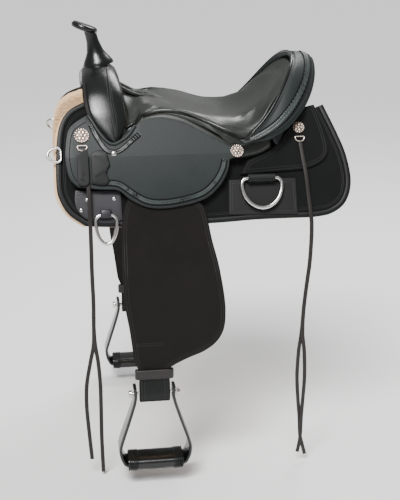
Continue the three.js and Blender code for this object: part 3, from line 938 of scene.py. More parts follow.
def tooled_band(
    path: np.ndarray, out: np.ndarray, width: float, lift: float = 0.0006, flower: float = 0.0
) -> tuple[Shape, Shape]:
    """Stamped border: two lines with overlapping crescents and dots between them.

    Args:
        path: The band's middle line.
        out: Outward directions along it.
        width: Its width.
        lift: Height of the marks over the leather.
        flower: Pitch of small flowers along it, or zero for none.

    Returns:
        The dark ground strip, painted shade of the stamped recesses, and the raised marks.
    """
    along = unit(np.gradient(path, axis=0))
    across = unit(np.cross(out, along))
    edges = [sweep(path + across * sign * width / 2, out,
                   oval(0.0015, 2 * lift + 0.0006, 6)) for sign in (-1, 1)]
    flat = np.array([(-0.5, -0.3), (0.5, -0.3), (0.5, 0.3), (-0.5, 0.3)]) * [width, MM]
    # The caller gives the ground strip a dark finish: painted shade of the stamped recesses.
    ground = joined([sweep(path, out, flat), *edges])
    # The caller gives the raised marks a lighter finish: painted highlight.
    parts = []
    spots = even(np.hstack([path, out, across]), width * 0.72)
    for number, row in enumerate(spots):
        centre, normal, side = row[:3], unit(row[3:6]), unit(row[6:9])
        forward = np.cross(side, normal)
        lean = 1 if number % 2 else -1
        a = np.linspace(-1.3, 1.3, 7)[:, None]
        arc = centre + forward * np.cos(a) * width * 0.20 + side * np.sin(a) * width * 0.30 * lean
        parts.append(sweep(arc, np.repeat(normal[None], 7, axis=0), oval(0.0018, 2 * lift + 0.0012, 6)))
        pip = np.array([forward, side, normal]) * np.array([[width * 0.11], [width * 0.11], [lift + 0.0006]])
        parts.append(bead(centre + side * lean * width * 0.2, pip, 6))
    if flower:
        for row in even(np.hstack([path, out, across]), flower)[1:-1]:
            centre, normal, side = row[:3], unit(row[3:6]), unit(row[6:9])
            forward = np.cross(side, normal)
            for petal in range(5):
                a = petal / 5 * 2 * math.pi
                reach = forward * math.cos(a) + side * math.sin(a)
                axes = np.array([reach * width * 0.22, np.cross(normal, reach) * width * 0.15,
                                 normal * 0.0011])
                parts.append(bead(centre + reach * width * 0.24, axes, 8))
            parts.append(bead(centre, np.array([forward, side, normal]) * 0.0016, 8))
    return ground, joined(parts)


@dataclass
class Concho:
    """Round silver ornament with petals and a scalloped rim.

    Args:
        radius: Its radius in millimetres.
        height: Its height in millimetres.
        petals: Number of petals.
    """

    radius: float
    height: float
    petals: int = 6

    def shapes(self) -> tuple[Shape, Shape]:
        """Return the darkened plate and the bright raised work, with +Z outwards.

        Returns:
            The plate and the work on it.
        """
        r, h = self.radius, self.height
        plate = turned([(r * 0.4, 0), (r * 0.96, 0), (r, h * 0.2), (r * 0.94, h * 0.36), (r * 0.84, h * 0.28),
                        (r * 0.4, h * 0.45), (r * 0.05, h * 0.5)], 48)
        parts = []
        for ring, count, size, level in ((0.90, self.petals * 3, 0.10, 0.36),
                                         (0.78, self.petals, 0.12, 0.36)):
            for number in range(count):
                a = (number + 0.5) / count * 2 * math.pi
                middle = np.array([math.cos(a) * r * ring, math.sin(a) * r * ring, h * level]) * MM
                parts.append(bead(middle, np.diag([r * size, r * size, h * 0.22]) * MM, 8))
        for number in range(self.petals):
            a = number / self.petals * 2 * math.pi
            reach = np.array([math.cos(a), math.sin(a), -0.12])
            side = np.array([-math.sin(a), math.cos(a), 0])
            axes = np.array([reach * r * 0.27, side * r * 0.21, np.array([0, 0, h * 0.40])]) * MM
            middle = np.array([math.cos(a) * r * 0.55, math.sin(a) * r * 0.55, h * 0.42]) * MM
            parts.append(bead(middle, axes, 12))
        parts.append(bead(np.array([0, 0, h * 0.5]) * MM, np.diag([r * 0.2, r * 0.2, h * 0.5]) * MM, 16))
        return plate, joined(parts)


# ---------------------------------------------------------------- seat and cantle
@dataclass
class SeatForm:
    """The seat's top face, from front to rear and from side to side.

    Args:
        front: Front edge of the measured part.
        rim_x: Where the low rear corners are.
        rim_length: How far the rim runs back from them.
        width: Half width at the rear corners.
        tuck: How far the seat runs on under the fork.
        centre: (x, z) stations of the centre line.
        edge: (x, z) stations of the lower edge.
        half: (x, half width) stations.
    """

    front: float = -158.0
    rim_x: float = 45.0
    rim_length: float = 152.0
    width: float = 180.0
    tuck: float = 24.0
    centre: Points = (
        (-200, 132), (-158, 108), (-90, 82), (-30, 66), (20, 58), (55, 57), (90, 65), (125, 85), (160, 118),
        (197, 180),
    )
    edge: Points = ((-182, 46), (-158, 62), (-146, 76), (-106, 86), (-66, 80), (-25, 62), (26, 34), (45, 22))
    half: Points = ((-182, 148), (-158, 150), (-106, 146), (-25, 163), (26, 176), (45, 180))

    def _along(self, stations: Points, x: np.ndarray) -> np.ndarray:
        """Return the heights or widths of a row of stations at x."""
        line = spline(np.array(stations, float), 16)
        return np.interp(x, line[:, 0], line[:, 1])

    def top(self, u: np.ndarray, v: np.ndarray) -> np.ndarray:
        """Return points of the top face in metres; u is below 0 in front of the measured part.

        Args:
            u: Share from front to rear.
            v: Share from the left side, -1, to the right side, 1.

        Returns:
            An array of points, one for each pair of shares.
        """
        length = self.rim_length * np.sqrt(np.maximum(0, 1 - v * v))
        back = np.maximum(u, 0)
        ahead = np.minimum(u, 0) / AHEAD * self.tuck
        x = self.front + (self.rim_x + length - self.front) * back + ahead
        edge_x = self.front + (self.rim_x - self.front) * back + ahead
        centre_x = self.front + (self.rim_x + self.rim_length - self.front) * back + ahead
        blend = back**4
        half = self._along(self.half, edge_x) * (1 - blend) + self.width * blend
        low = self._along(self.edge, edge_x)
        fall = np.abs(v) ** (2 + 0.7 * back**3)
        z = self._along(self.centre, centre_x) * (1 - fall) + low * fall
        return np.stack([x, v * half, z], axis=-1) * MM

    def normal(self, u: np.ndarray, v: np.ndarray) -> np.ndarray:
        """Return upward normals of the top face.

        Args:
            u: Share from front to rear.
            v: Share from side to side.

        Returns:
            An array of directions of length one.
        """
        e = 0.004
        du = self.top(u + e, v) - self.top(u - e, v)
        dv = self.top(u, np.clip(v + e, -1, 1)) - self.top(u, np.clip(v - e, -1, 1))
        return unit(np.cross(du, dv))


@dataclass
class Seat:
    """The padded seat, its hand hole and its seams.

    Args:
        form: The top face.
        thick: Thickness of the pad in metres.
        rim_thick: What the rear rim adds to it.
        side_thick: Thickness at the sides.
        hole_radius: Radius of the hand hole.
        hole_x: Centre of the hand hole's round end.
        cap: The most that the filling moves a point.
        frames: Number of frames that the filling runs.
        apron: (x, z) points of the jockey's upper edge.
        apron_tuck: How far the apron runs down behind it.
    """

    form: SeatForm = field(default_factory=SeatForm)
    thick: float = 0.013
    rim_thick: float = 0.020
    side_thick: float = 0.009
    hole_radius: float = 0.030
    hole_x: float = -0.158
    cap: float = 0.006
    frames: int = 20
    apron: Points = (
        (-214, 24), (-196, 26), (-176, 36), (-162, 52), (-145, 66), (-105, 72), (-60, 64), (-22, 46),
        (29, 18), (52, 9),
        (66, 4), (84, 4), (104, 9), (128, 20),
    )
    apron_tuck: float = 0.014

    def _pad(self) -> Shape:
        """Return the closed pad, notched in front for the hand hole, before it is filled.

        Returns:
            The pad as a structured grid.
        """
        reach = (self.form.rim_x + self.form.rim_length - self.form.front) * MM
        vs = np.concatenate([np.sin(np.linspace(-math.pi / 2, math.pi / 2, 54)),
                             [-0.205, -0.19, 0.19, 0.205]])
        vs = np.unique(np.round(vs, 4))
        ts = np.linspace(0, 1, 54)
        t, v = np.meshgrid(ts, vs, indexing="ij")
        hole = np.maximum(self.hole_radius**2 - (v * 0.150) ** 2, 0)
        start = np.where(hole > 0, np.sqrt(hole) / reach, -AHEAD)
        u = start + (1 - start) * t
        top = self.form.top(u, v)
        edge = np.minimum(1, np.minimum((1 - np.abs(v)) / 0.05, t / 0.035))
        round_off = 0.006 * (1 - np.sqrt(np.clip(1 - (1 - edge) ** 2, 0, 1)))
        depth = self.thick + self.rim_thick * np.maximum(u, 0) ** 4
        depth = depth * (1 - v**4) + self.side_thick * v**4
        upper = top - np.stack([0 * u, 0 * u, round_off], axis=-1)
        lower = top - np.stack([0 * u, 0 * u, depth], axis=-1)
        return slab(upper, lower)

    def _filled(self, made: bpy.types.Object) -> None:
        """Blow the pad up a little by cloth simulation and keep what moved less than the cap.

        Args:
            made: The seat.
        """
        base = np.array([v.co for v in made.data.vertices])
        cloth = made.modifiers.new("fill", "CLOTH")
        cloth.settings.use_pressure = True
        cloth.settings.uniform_pressure_force = 4
        cloth.settings.effector_weights.gravity = 0
        cloth.settings.quality = 5
        cloth.point_cache.frame_end = self.frames
        for number in range(1, self.frames + 1):
            bpy.context.scene.frame_set(number)
        shown = made.evaluated_get(bpy.context.evaluated_depsgraph_get())
        after = np.array([v.co for v in shown.data.vertices])
        made.modifiers.remove(cloth)
        bpy.context.scene.frame_set(1)
        step = after - base
        far = np.linalg.norm(step, axis=1, keepdims=True)
        step *= np.minimum(1, self.cap / np.maximum(far, 1e-9))
        made.data.vertices.foreach_set("co", (base + step).astype(np.float32).ravel())
        made.data.update()
        log.info("seat filled: mean move %.1f mm", float(far.mean()) * 1000)

    def build(self) -> None:
        """Make the seat, its welt cords and its stitch rows."""
        made = piece("seat", self._pad(), SEAT, "seat_leather", nodes=["seat_leather"], crease=180)
        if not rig.quick():
            self._filled(made)
        fine = made.modifiers.new("fine", "SUBSURF")
        fine.levels = fine.render_levels = 1
        made.data = bpy.data.meshes.new_from_object(made.evaluated_get(bpy.context.evaluated_depsgraph_get()))
        made.modifiers.clear()
        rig.padded(made, fill=0.8)
        for side in Side:
            piece(f"seat_apron_{side.word}", self._apron().on(side), SEAT, "seat_leather", crease=180)
        self._seams()

    def _apron(self) -> Shape:
        """Return the left side's leather from the seat's edge down behind the jockey.

        Returns:
            The flap on the left side.
        """
        line = spline(mm(self.apron), 8)
        xs = np.linspace(line[0, 0], line[-1, 0], 60)
        low_z = np.interp(xs, line[:, 0], line[:, 1]) - self.apron_tuck
        rim = np.linspace(1, 0.83, 40)
        u = np.concatenate([np.linspace(-AHEAD, 1, 60), np.ones(39)])
        edge = self.form.top(u, np.concatenate([np.ones(60), rim[1:]]))
        high_y, high_z = (np.interp(xs, edge[:, 0], edge[:, k]) for k in (1, 2))
        rise = 0.008 * np.clip((-0.165 - xs) / 0.020, 0, 1) - 0.001
        high = np.stack([xs, 0.014 - high_y, high_z + rise], axis=1)
        inside = 0.002 + 0.012 * np.clip((xs - 0.060) / 0.020, 0, 1)
        low = np.stack([xs, inside - jockey_side(low_z), low_z], axis=1)
        share = np.linspace(0, 1, 8)[:, None, None]
        bulge = np.sin(share * math.pi) * np.array([0, -0.004, 0.003])
        face = high[None] * (1 - share) + low[None] * share + bulge
        return slab(face, face + [0, 0.003, 0])

    def _seams(self) -> None:
        """Add the rolled edge of the hand hole, the side welts and their stitches."""
        a = np.linspace(-math.pi / 2, math.pi / 2, 30)
        flat = np.stack([self.hole_x + self.hole_radius * np.cos(a), self.hole_radius * np.sin(a)], axis=1)
        front = [(self.hole_x - 0.022, -self.hole_radius), (self.hole_x - 0.022, self.hole_radius)]
        flat = np.vstack([front[:1], flat, front[1:]])
        line = spline(np.array(self.form.centre, float), 16) * MM
        z = np.interp(flat[:, 0], line[:, 0], line[:, 1]) - 0.0015
        path = np.column_stack([flat, z])
        up = np.repeat([[0.0, 0.0, 1.0]], len(path), axis=0)
        piece("hand_hole_roll", sweep(path, up, oval(0.011, 0.010, 12, 2.0)), SEAT, "seat_leather")
        us = np.linspace(-0.10, 1, 70)
        cords, rows = [], []
        for sign in (-1, 1):
            v = np.full(us.shape, sign * 0.985)
            out = self.form.normal(us, v)
            cords.append(sweep(self.form.top(us, v) + out * 0.002, out, oval(0.0045, 0.0045, 8, 2.0)))
            v = np.full(us.shape, sign * 0.93)
            rows.append(stitches(self.form.top(us, v) + self.form.normal(us, v) * 0.0036,
                                 self.form.normal(us, v)))
        piece("seat_welts", joined(cords), SMOOTH, "seat_leather")
        piece("seat_stitches", joined(rows), THREAD, "lace")


@dataclass
class Cantle:
    """The rolled cantle rim with its welt, creases and stamped band, and the cantle's back.

    Args:
        form: The seat's top face.
        sweep: Half the angle that the roll goes round.
        reach: How far back its outer edge comes.
        side_x: Where the outer edge is widest.
        half: Half width of the outer edge.
        top: Height of the outer edge at the rear.
        drop: How far the outer edge falls to the sides.
        thick: Half thickness of the roll.
        lift: Height of its middle above the seat's rim.
    """

    form: SeatForm = field(default_factory=SeatForm)
    sweep: float = 1.53
    reach: float = 254.0
    side_x: float = 66.0
    half: float = 206.0
    top: float = 167.0
    drop: float = 147.0
    thick: float = 10.0
    lift: float = 2.0

    def _outer(self, angle: np.ndarray) -> np.ndarray:
        """Return the roll's outer edge in metres.

        Args:
            angle: Angles round the rim, 0 at the rear.

        Returns:
            An array of points.
        """
        across = np.sin(angle)
        x = self.side_x + (self.reach - self.side_x) * np.cos(angle)
        z = self.top - self.drop * np.abs(across) ** 1.35
        return np.stack([x, across * self.half, z], axis=-1) * MM

    def _frame(self, angle: np.ndarray) -> tuple[np.ndarray, ...]:
        """Return the middle, across and outward half axes of the roll at each angle.

        Args:
            angle: Angles round the rim, 0 at the rear.

        Returns:
            Three arrays of vectors.
        """
        inner, outer = self.form.top(np.ones_like(angle), np.sin(angle)), self._outer(angle)
        across = outer - inner
        along = self._outer(angle + 0.02) - self._outer(angle - 0.02)
        half = np.linalg.norm(across, axis=1, keepdims=True) / 2
        across = unit(across)
        out = unit(np.cross(across, along))
        out = np.where(out[:, 2:] < 0, -out, out)
        middle = inner + across * (half + 0.001) + out * self.lift * MM
        share = (angle + self.sweep) / (2 * self.sweep)
        end = np.clip(np.minimum(share, 1 - share) * 12, 0.3, 1)[:, None]
        return middle, across * (half - 0.0005) * end, out * self.thick * MM * end

    def on_top(self, angle: np.ndarray, across: float, lift: float = 0.0) -> tuple[np.ndarray, ...]:
        """Return points and normals of the roll's upper face at a share across it.

        Args:
            angle: Angles round the rim, 0 at the rear.
            across: Share from the inner edge, -1, to the outer, 1.
            lift: Distance above the face.

        Returns:
            Two arrays of vectors.
        """
        middle, a, b = self._frame(angle)
        bulge = math.sqrt(1 - across * across)
        normal = unit(unit(b) * bulge + unit(a) * across * 0.7)
        return middle + a * across + b * bulge + normal * lift, normal

    def build(self) -> None:
        """Make the roll, its marks and the cantle's back."""
        angles = np.linspace(-self.sweep, self.sweep, 90)
        middle, a, b = self._frame(angles)
        turn = np.linspace(0, 2 * math.pi, 40, endpoint=False)
        depth = np.ones(40)
        for crease in (0.62, 1.00, 2.50):
            depth -= 0.085 * np.exp(-(((turn - crease) / 0.07) ** 2))
        ring = [middle + a * math.cos(t) * d + b * math.sin(t) * d for t, d in zip(turn, depth)]
        verts = np.stack(ring, axis=1).reshape(-1, 3)
        n, k = len(angles), 40
        faces = [
            (i * k + m, i * k + (m + 1) % k, (i + 1) * k + (m + 1) % k, (i + 1) * k + m)
            for i in range(n - 1)
            for m in range(k)
        ]
        faces += [tuple(range(k))[::-1], tuple((n - 1) * k + m for m in range(k))]
        piece("cantle_roll", Shape(verts, faces), JOCKEY, "tooled_leather", nodes=["cantle_binding"],
              crease=60)
        inner = np.linspace(-self.sweep, self.sweep, 120)
        path, out = self.on_top(inner, -0.93, 0.001)
        piece("cantle_welt", sweep(path, out, oval(0.006, 0.006, 10, 2.0)), SMOOTH, "tooled_leather")
        path, out = self.on_top(inner * 0.93, 0.22, 0.0004)
        ground, marks = tooled_band(path, out, 0.017, flower=0.045)
        # The band's dark ground is painted shade of the stamped recesses.
        piece("cantle_band", ground, PAINTED_SHADE_LEATHER, "tooled_leather", crease=20)
        # The stamped marks are lighter than the roll: painted highlight.
        piece("cantle_tooling", marks, PAINTED_HIGHLIGHT_LEATHER, "tooled_leather", crease=60)
        rows = []
        for across in (-0.74, 0.66):
            path, out = self.on_top(inner * 0.97, across, 0.0002)
            rows.append(stitches(path, out))
        piece("cantle_stitches", joined(rows), THREAD, "lace")
        self._back()

    def _back(self) -> None:
        """Add the leather behind the cantle, from the roll down to the rear jockeys."""
        angles = np.linspace(-1.14, 1.14, 80)
        upper = self.on_top(angles, 0.62)[0] - unit(self._frame(angles)[2]) * 0.012
        across = np.sin(angles)
        y = across * 0.184
        room = 0.244 - np.abs(y)
        rise = (np.sqrt(0.1296 + 2.8 * room) - 0.36) / 1.4
        low_x = 0.092 + 0.123 * np.cos(angles)
        lower = np.stack([low_x, y, np.minimum(rise - 0.150, 0.070)], axis=1)
        share = np.linspace(0, 1, 12)[:, None, None]
        bow = np.sin(share * math.pi) * np.cos(angles)[None, :, None] * np.array([-0.012, 0, 0])
        face = upper[None] * (1 - share) + lower[None] * share + bow
        piece("cantle_back", slab(face, face - [0.004, 0, 0]), JOCKEY, "tooled_leather", crease=50)


# ---------------------------------------------------------------- fork and horn
@dataclass
class Fork:
    """The leather-covered swell and the horn on it.

    Args:
        outer: (y, z) points of the arch's upper line.
        inner: (y, z) points of its lower line.
        middle_x: Where its middle is at a share along the arch.
        half_x: Half its length at a share along the arch.
        horn_base: (x, z) of the stem's foot in metres.
        horn_lean: Slope of the stem, negative when it leans forward.
        cap_centre: (x, z) of the cap in metres.
        cap_tilt: How far the cap tips, in radians.
        cap_radius: Radius of the cap.
        cap_thick: Thickness of the cap.
    """

    outer: Points = ((0, 172), (62, 160), (112, 130), (143, 94), (162, 60), (176, 30))
    inner: Points = ((0, 122), (52, 118), (98, 106), (122, 84), (141, 60), (157, 32))
    middle_x: Points = ((0, -225), (0.5, -222), (0.8, -212), (1, -204))
    half_x: Points = ((0, 39), (0.5, 42), (0.75, 37), (0.9, 22), (1, 8))
    horn_base: tuple[float, float] = (-0.222, 0.150)
    horn_lean: float = -0.22
    cap_centre: tuple[float, float] = (-0.253, 0.246)
    cap_tilt: float = 0.35
    cap_radius: float = 29.0
    cap_thick: float = 13.0

    def _at(self, s: np.ndarray) -> tuple[np.ndarray, ...]:
        """Return the middle and half axes of the arch at signed shares s from -1 to 1.

        Args:
            s: Shares along the arch.

        Returns:
            Three arrays of vectors.
        """
        share, sign = np.abs(s), np.where(s < 0, -1.0, 1.0)
        lines = [spline(np.array(p, float), 16) for p in (self.outer, self.inner)]
        grid = np.linspace(0, 1, len(lines[0]))
        outer, inner = (
            np.stack([np.interp(share, grid, line[:, k]) for k in (0, 1)], axis=1) for line in lines
        )
        gap = outer - inner
        thick = np.linalg.norm(gap, axis=1, keepdims=True) / 2
        gap = unit(gap)
        centre = (outer + inner) / 2
        mid = spline(np.array(self.middle_x, float), 16)
        wide = spline(np.array(self.half_x, float), 16)
        x = np.interp(share, mid[:, 0], mid[:, 1])
        half = np.interp(share, wide[:, 0], wide[:, 1])
        middle = np.stack([x, sign * centre[:, 0], centre[:, 1]], axis=1) * MM
        a = np.stack([half, 0 * half, 0 * half], axis=1) * MM
        b = np.stack([0 * half, sign * gap[:, 0], gap[:, 1]], axis=1) * thick * MM
        return middle, a, b

    def on_cover(self, s: np.ndarray, angle: float, lift: float) -> tuple[np.ndarray, np.ndarray]:
        """Return points and normals of the cover at an angle round its section.

        Args:
            s: Shares along the arch.
            angle: Angle round the section.
            lift: Distance above the cover.

        Returns:
            Two arrays of vectors.
        """
        middle, a, b = self._at(s)
        c, d = math.cos(angle), math.sin(angle)
        wide, thick = (np.linalg.norm(w, axis=1, keepdims=True) for w in (a, b))
        normal = unit(unit(a) * c * thick + unit(b) * d * wide)
        return middle + a * c + b * d + normal * lift, normal

    def build(self) -> None:
        """Make the cover, its seams and bands, and the horn."""
        shares = np.sin(np.linspace(-math.pi / 2, math.pi / 2, 101))
        middle, a, b = self._at(shares)
        turn = np.linspace(0, 2 * math.pi, 48, endpoint=False)
        ring = [middle + a * math.cos(t) + b * math.sin(t) for t in turn]
        verts = np.stack(ring, axis=1).reshape(-1, 3)
        n, k = len(shares), 48
        faces = [
            (i * k + m, i * k + (m + 1) % k, (i + 1) * k + (m + 1) % k, (i + 1) * k + m)
            for i in range(n - 1)
            for m in range(k)
        ]
        faces += [tuple(range(k))[::-1], tuple((n - 1) * k + m for m in range(k))]
        piece("fork_leather", Shape(verts, faces), SMOOTH, "smooth_leather", nodes=["fork_cover"], crease=60)
        self._marks()
        self._horn()

    def _marks(self) -> None:
        """Add the welt, the stitch rows and the stamped bands of the swell."""
        cords, rows, grounds, marks = [], [], [], []
        for sign in (-1, 1):
            s = sign * np.linspace(0.16, 0.93, 60)
            path, out = self.on_cover(s, 1.22, 0.0002)
            cords.append(sweep(path, out, oval(0.0035, 0.0035, 8, 2.0)))
            for angle in (1.12, 1.33, 2.93):
                path, out = self.on_cover(s, angle, 0.0002)
                rows.append(stitches(path, out, 0.004))
            path, out = self.on_cover(sign * np.linspace(0.30, 0.93, 60), 2.66, 0.0004)
            for kept, part in zip((grounds, marks), tooled_band(path, out, 0.010)):
                kept.append(part)
        piece("fork_welts", joined(cords), BINDING, "smooth_leather")
        piece("fork_stitches", joined(rows), THREAD, "lace")
        # The band's dark ground is painted shade of the stamped recesses.
        piece("fork_band", joined(grounds), PAINTED_SHADE_LEATHER, "smooth_leather", crease=20)
        # The fork's stamped marks take the lighter strap leather: painted highlight.
        piece("fork_tooling", joined(marks), STRAP, "smooth_leather", crease=60)

    def _horn(self) -> None:
        """Add the wrapped neck and the cap."""
        profile = [(8, 16), (34, 15), (33.5, 20), (30, 26), (27, 31), (22.5, 38), (18.5, 46), (16, 56),
                   (13.5, 68),
                   (13, 80), (13.5, 95), (8, 96)]
        lean = math.atan(self.horn_lean)
        turn = lambda v, t: np.column_stack([
            v[:, 0] * math.cos(t) + v[:, 2] * math.sin(t), v[:, 1],
            -v[:, 0] * math.sin(t) + v[:, 2] * math.cos(t),
        ])
        base = np.array([self.horn_base[0], 0, self.horn_base[1]])
        neck = turned(profile, 40).placed(lambda v: turn(v, lean) + base)
        piece("horn_neck", neck, SMOOTH, "smooth_leather", nodes=["horn_wrap", "horn_core"], crease=50)
        r, h = self.cap_radius, self.cap_thick / 2
        cap = turned([(r * 0.3, -h), (r - 6, -h), (r - 2, -h * 0.8), (r, -h * 0.25), (r, h * 0.2),
                      (r - 1.5, h * 0.72),
                      (r - 4, h), (r - 6, h * 0.93), (r - 7, h * 0.82), (r - 8.5, h * 0.93), (r * 0.3, h),
                      (1, h)], 56)
        centre = np.array([self.cap_centre[0], 0, self.cap_centre[1]])
        put = lambda shape: shape.placed(lambda v: turn(v, self.cap_tilt) + centre)
        piece("horn_cap_leather", put(cap), SMOOTH, "smooth_leather", nodes=["horn_cap"], crease=60)
        a = np.linspace(0, 2 * math.pi, 120)
        ring = np.column_stack([np.cos(a), np.sin(a), 0 * a])
        row = stitches(ring * (r - 1.2) * MM + [0, 0, -h * 0.62 * MM], ring, 0.0038)
        piece("horn_cap_stitches", put(row), THREAD, "lace")


# ---------------------------------------------------------------- skirts, fleece, jockeys
SKIRT_FRONT = ((-254, 104), (-293, 87), (-315, 59), (-324, 12), (-327, -54), (-321, -84), (-303, -112),
               (-271, -134))
SKIRT_HEM = ((-271, -134), (-196, -138), (-13, -138), (96, -134), (211, -134))
SKIRT_REAR = ((211, -134), (251, -128), (283, -107), (298, -68), (293, -17), (278, 27), (253, 85))
SKIRT_TOP = ((253, 85), (222, 74), (180, 46), (130, 20), (60, 8), (-100, 8), (-180, 20), (-222, 52),
             (-254, 104))


@dataclass
class Skirts:
    """Skirt, its leather binding and its wool lining on one side.

    Args:
        side: The side of the saddle.
        thick: Thickness of the skirt in metres.
        fleece_thick: Thickness of the wool in metres.
        fleece_proud: How far the wool shows past the skirt.
    """

    side: Side
    thick: float = 0.005
    fleece_thick: float = 0.018
    fleece_proud: float = 6.0

    def build(self) -> None:
        """Make the skirt, the binding, the stitches and the fleece."""
        word = self.side.word
        loop = outline(SKIRT_FRONT, SKIRT_HEM, SKIRT_REAR, SKIRT_TOP)
        skirt = panel(loop, skirt_side, -self.thick, self.thick)
        piece(f"skirt_cloth_{word}", skirt.on(self.side), CORDURA, "skirt_fabric", nodes=[f"skirt_{word}"])
        run = np.concatenate([spline(mm(r)) for r in (SKIRT_FRONT, SKIRT_HEM, SKIRT_REAR)])
        run = even(run, 0.004)
        edge = self._inside(run, 0.0045)
        path, out = line_on(skirt_side, edge, -0.0022)
        binding = sweep(path, out, oval(0.0115, 0.0080, 12, 4.0))
        piece(f"skirt_binding_{word}", binding.on(self.side), BINDING, "smooth_leather")
        rows = []
        for distance, height in ((0.0078, 0.0018), (0.0150, 0.0004), (0.0182, 0.0004)):
            path, out = line_on(skirt_side, self._inside(run, distance), height)
            rows.append(stitches(path, out))
        piece(f"skirt_stitches_{word}", joined(rows).on(self.side), THREAD, "lace")
        self._fleece()

    @staticmethod
    def _inside(run: np.ndarray, distance: float) -> np.ndarray:
        """Move an open edge line towards the skirt's middle."""
        along = unit(np.gradient(run, axis=0))
        return run + np.column_stack([-along[:, 1], along[:, 0]]) * distance

    def _fleece(self) -> None:
        """Add the wool lining with its tufts."""
        shift = lambda run: tuple((x - self.fleece_proud, z) for x, z in run)
        loop = outline(*(shift(run) for run in (SKIRT_FRONT, SKIRT_HEM, SKIRT_REAR, SKIRT_TOP)))
        cell = 0.012 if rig.quick() else 0.0055
        base = -self.thick - 0.0004 - self.fleece_thick
        pile = panel(loop, skirt_side, base, self.fleece_thick, 0.006, (cell, cell))
        inward = -out_of(skirt_side, pile.verts[:, [0, 2]])
        depth = (np.abs(pile.verts[:, 1]) - skirt_side(pile.verts[:, 2])) < -0.009
        tuft = np.array([noise.fractal(Vector(v) * 170, 0.8, 2.0, 3) for v in pile.verts])
        pile.verts = pile.verts + inward * (tuft * 0.0030 * depth + 0.0006 * depth)[:, None]
        word = self.side.word
        piece(f"wool_{word}", pile.on(self.side), WOOL, "fleece", nodes=[f"fleece_{word}"], crease=180)


@dataclass
class Jockeys:
    """Seat jockey and rear jockey on one side, with their stamped borders and the rolled lip.

    Args:
        side: The side of the saddle.
        thick: Thickness of the leather in metres.
        seat_runs: Runs of the seat jockey's outline.
        rear_runs: Runs of the rear jockey's outline.
        lip: Line of the rolled lip round the swell.
        low_band: Line of the lower stamped band.
        lip_band: Line of the stamped band under the lip.
        crease: Line of the crease in front, drawn as a dark line of painted shade.
    """

    side: Side
    thick: float = 0.004
    seat_runs: tuple[Points, ...] = (
        ((-259, 79), (-296, 56), (-307, 17), (-307, -11), (-300, -40), (-284, -56)),
        ((-284, -56), (-239, -62), (-202, -65), (-178, -83), (-148, -98), (-117, -103), (-75, -100),
         (-21, -87), (12, -62), (30, -35), (36, -12)),
        ((36, -12), (50, -8), (64, -6), (68, 2), (62, 8), (52, 9)),
        ((52, 9), (29, 18), (-22, 46), (-60, 64)),
        ((-60, 64), (-105, 72), (-145, 66), (-162, 52)),
        ((-162, 52), (-176, 36), (-190, 27), (-206, 21), (-220, 27), (-236, 45), (-248, 64), (-259, 79)),
    )
    rear_runs: tuple[Points, ...] = (
        ((233, 84), (249, 30), (253, -5), (241, -24), (217, -35), (191, -41)),
        ((191, -41), (58, -47)),
        ((58, -47), (76, -20)),
        ((76, -20), (130, 2), (176, 44), (205, 76), (233, 84)),
    )
    lip: Points = ((-160, 56), (-176, 38), (-190, 29), (-206, 23), (-220, 29), (-236, 47), (-248, 66),
                   (-257, 78))
    low_band: Points = ((-232, -49), (-200, -53), (-174, -70), (-146, -86), (-117, -91), (-76, -88),
                        (-27, -76),
                        (2, -54), (18, -31), (24, -13))
    lip_band: Points = ((-252, 60), (-240, 36), (-224, 14), (-207, 8), (-190, 13), (-172, 26), (-152, 40))
    crease: Points = ((-262, 66), (-289, 48), (-298, 15), (-298, -11), (-292, -35), (-279, -47), (-240, -53))

    def build(self) -> None:
        """Make both jockeys and their marks."""
        word, top = self.side.word, self.thick
        seat = panel(outline(*self.seat_runs), jockey_side, 0, self.thick, 0.0014, (0.02, 0.006))
        piece(f"jockey_{word}", seat.on(self.side), JOCKEY, "tooled_leather", nodes=[f"seat_jockey_{word}"])
        path, out = line_on(jockey_side, even(spline(mm(self.lip)), 0.003), top - 0.0012)
        roll = sweep(path, out, oval(0.009, 0.0085, 12, 2.2))
        piece(f"jockey_lip_{word}", roll.on(self.side), JOCKEY, "tooled_leather")
        grounds, marks = [], []
        for points, width in ((self.low_band, 0.0125), (self.lip_band, 0.010)):
            path, out = line_on(jockey_side, even(spline(mm(points)), 0.003), top + 0.0004)
            for kept, part in zip((grounds, marks), tooled_band(path, out, width)):
                kept.append(part)
        # The crease is a thin dark line on the leather: painted shade of its groove.
        path, out = line_on(jockey_side, even(spline(mm(self.crease)), 0.003), top)
        grounds.append(sweep(path, out, oval(0.0016, 0.0010, 6)))
        # The bands' dark ground and the crease line are painted shade of the stamped recesses and of the groove.
        piece(f"jockey_band_{word}", joined(grounds).on(self.side), PAINTED_SHADE_LEATHER, "tooled_leather", crease=20)
        # The stamped marks are lighter than the jockey: painted highlight.
        piece(f"jockey_tooling_{word}", joined(marks).on(self.side), PAINTED_HIGHLIGHT_LEATHER, "tooled_leather", crease=60)
        edge = inset(outline(*self.seat_runs), 0.0035)
        path, out = line_on(jockey_side, edge, top + 0.0001)
        rear_loop = outline(*self.rear_runs)
        rear = panel(rear_loop, skirt_side, 0.0012, self.thick, 0.0014)
        piece(f"rear_housing_{word}", rear.on(self.side), CORDURA, "rear_leather",
              nodes=[f"rear_jockey_{word}"])
        rows = [stitches(path, out, 0.004)]
        for distance in (0.004, 0.0085):
            path, out = line_on(skirt_side, inset(rear_loop, distance), 0.0012 + top + 0.0001)
            rows.append(stitches(path, out))
        piece(f"jockey_stitches_{word}", joined(rows).on(self.side), THREAD, "lace")


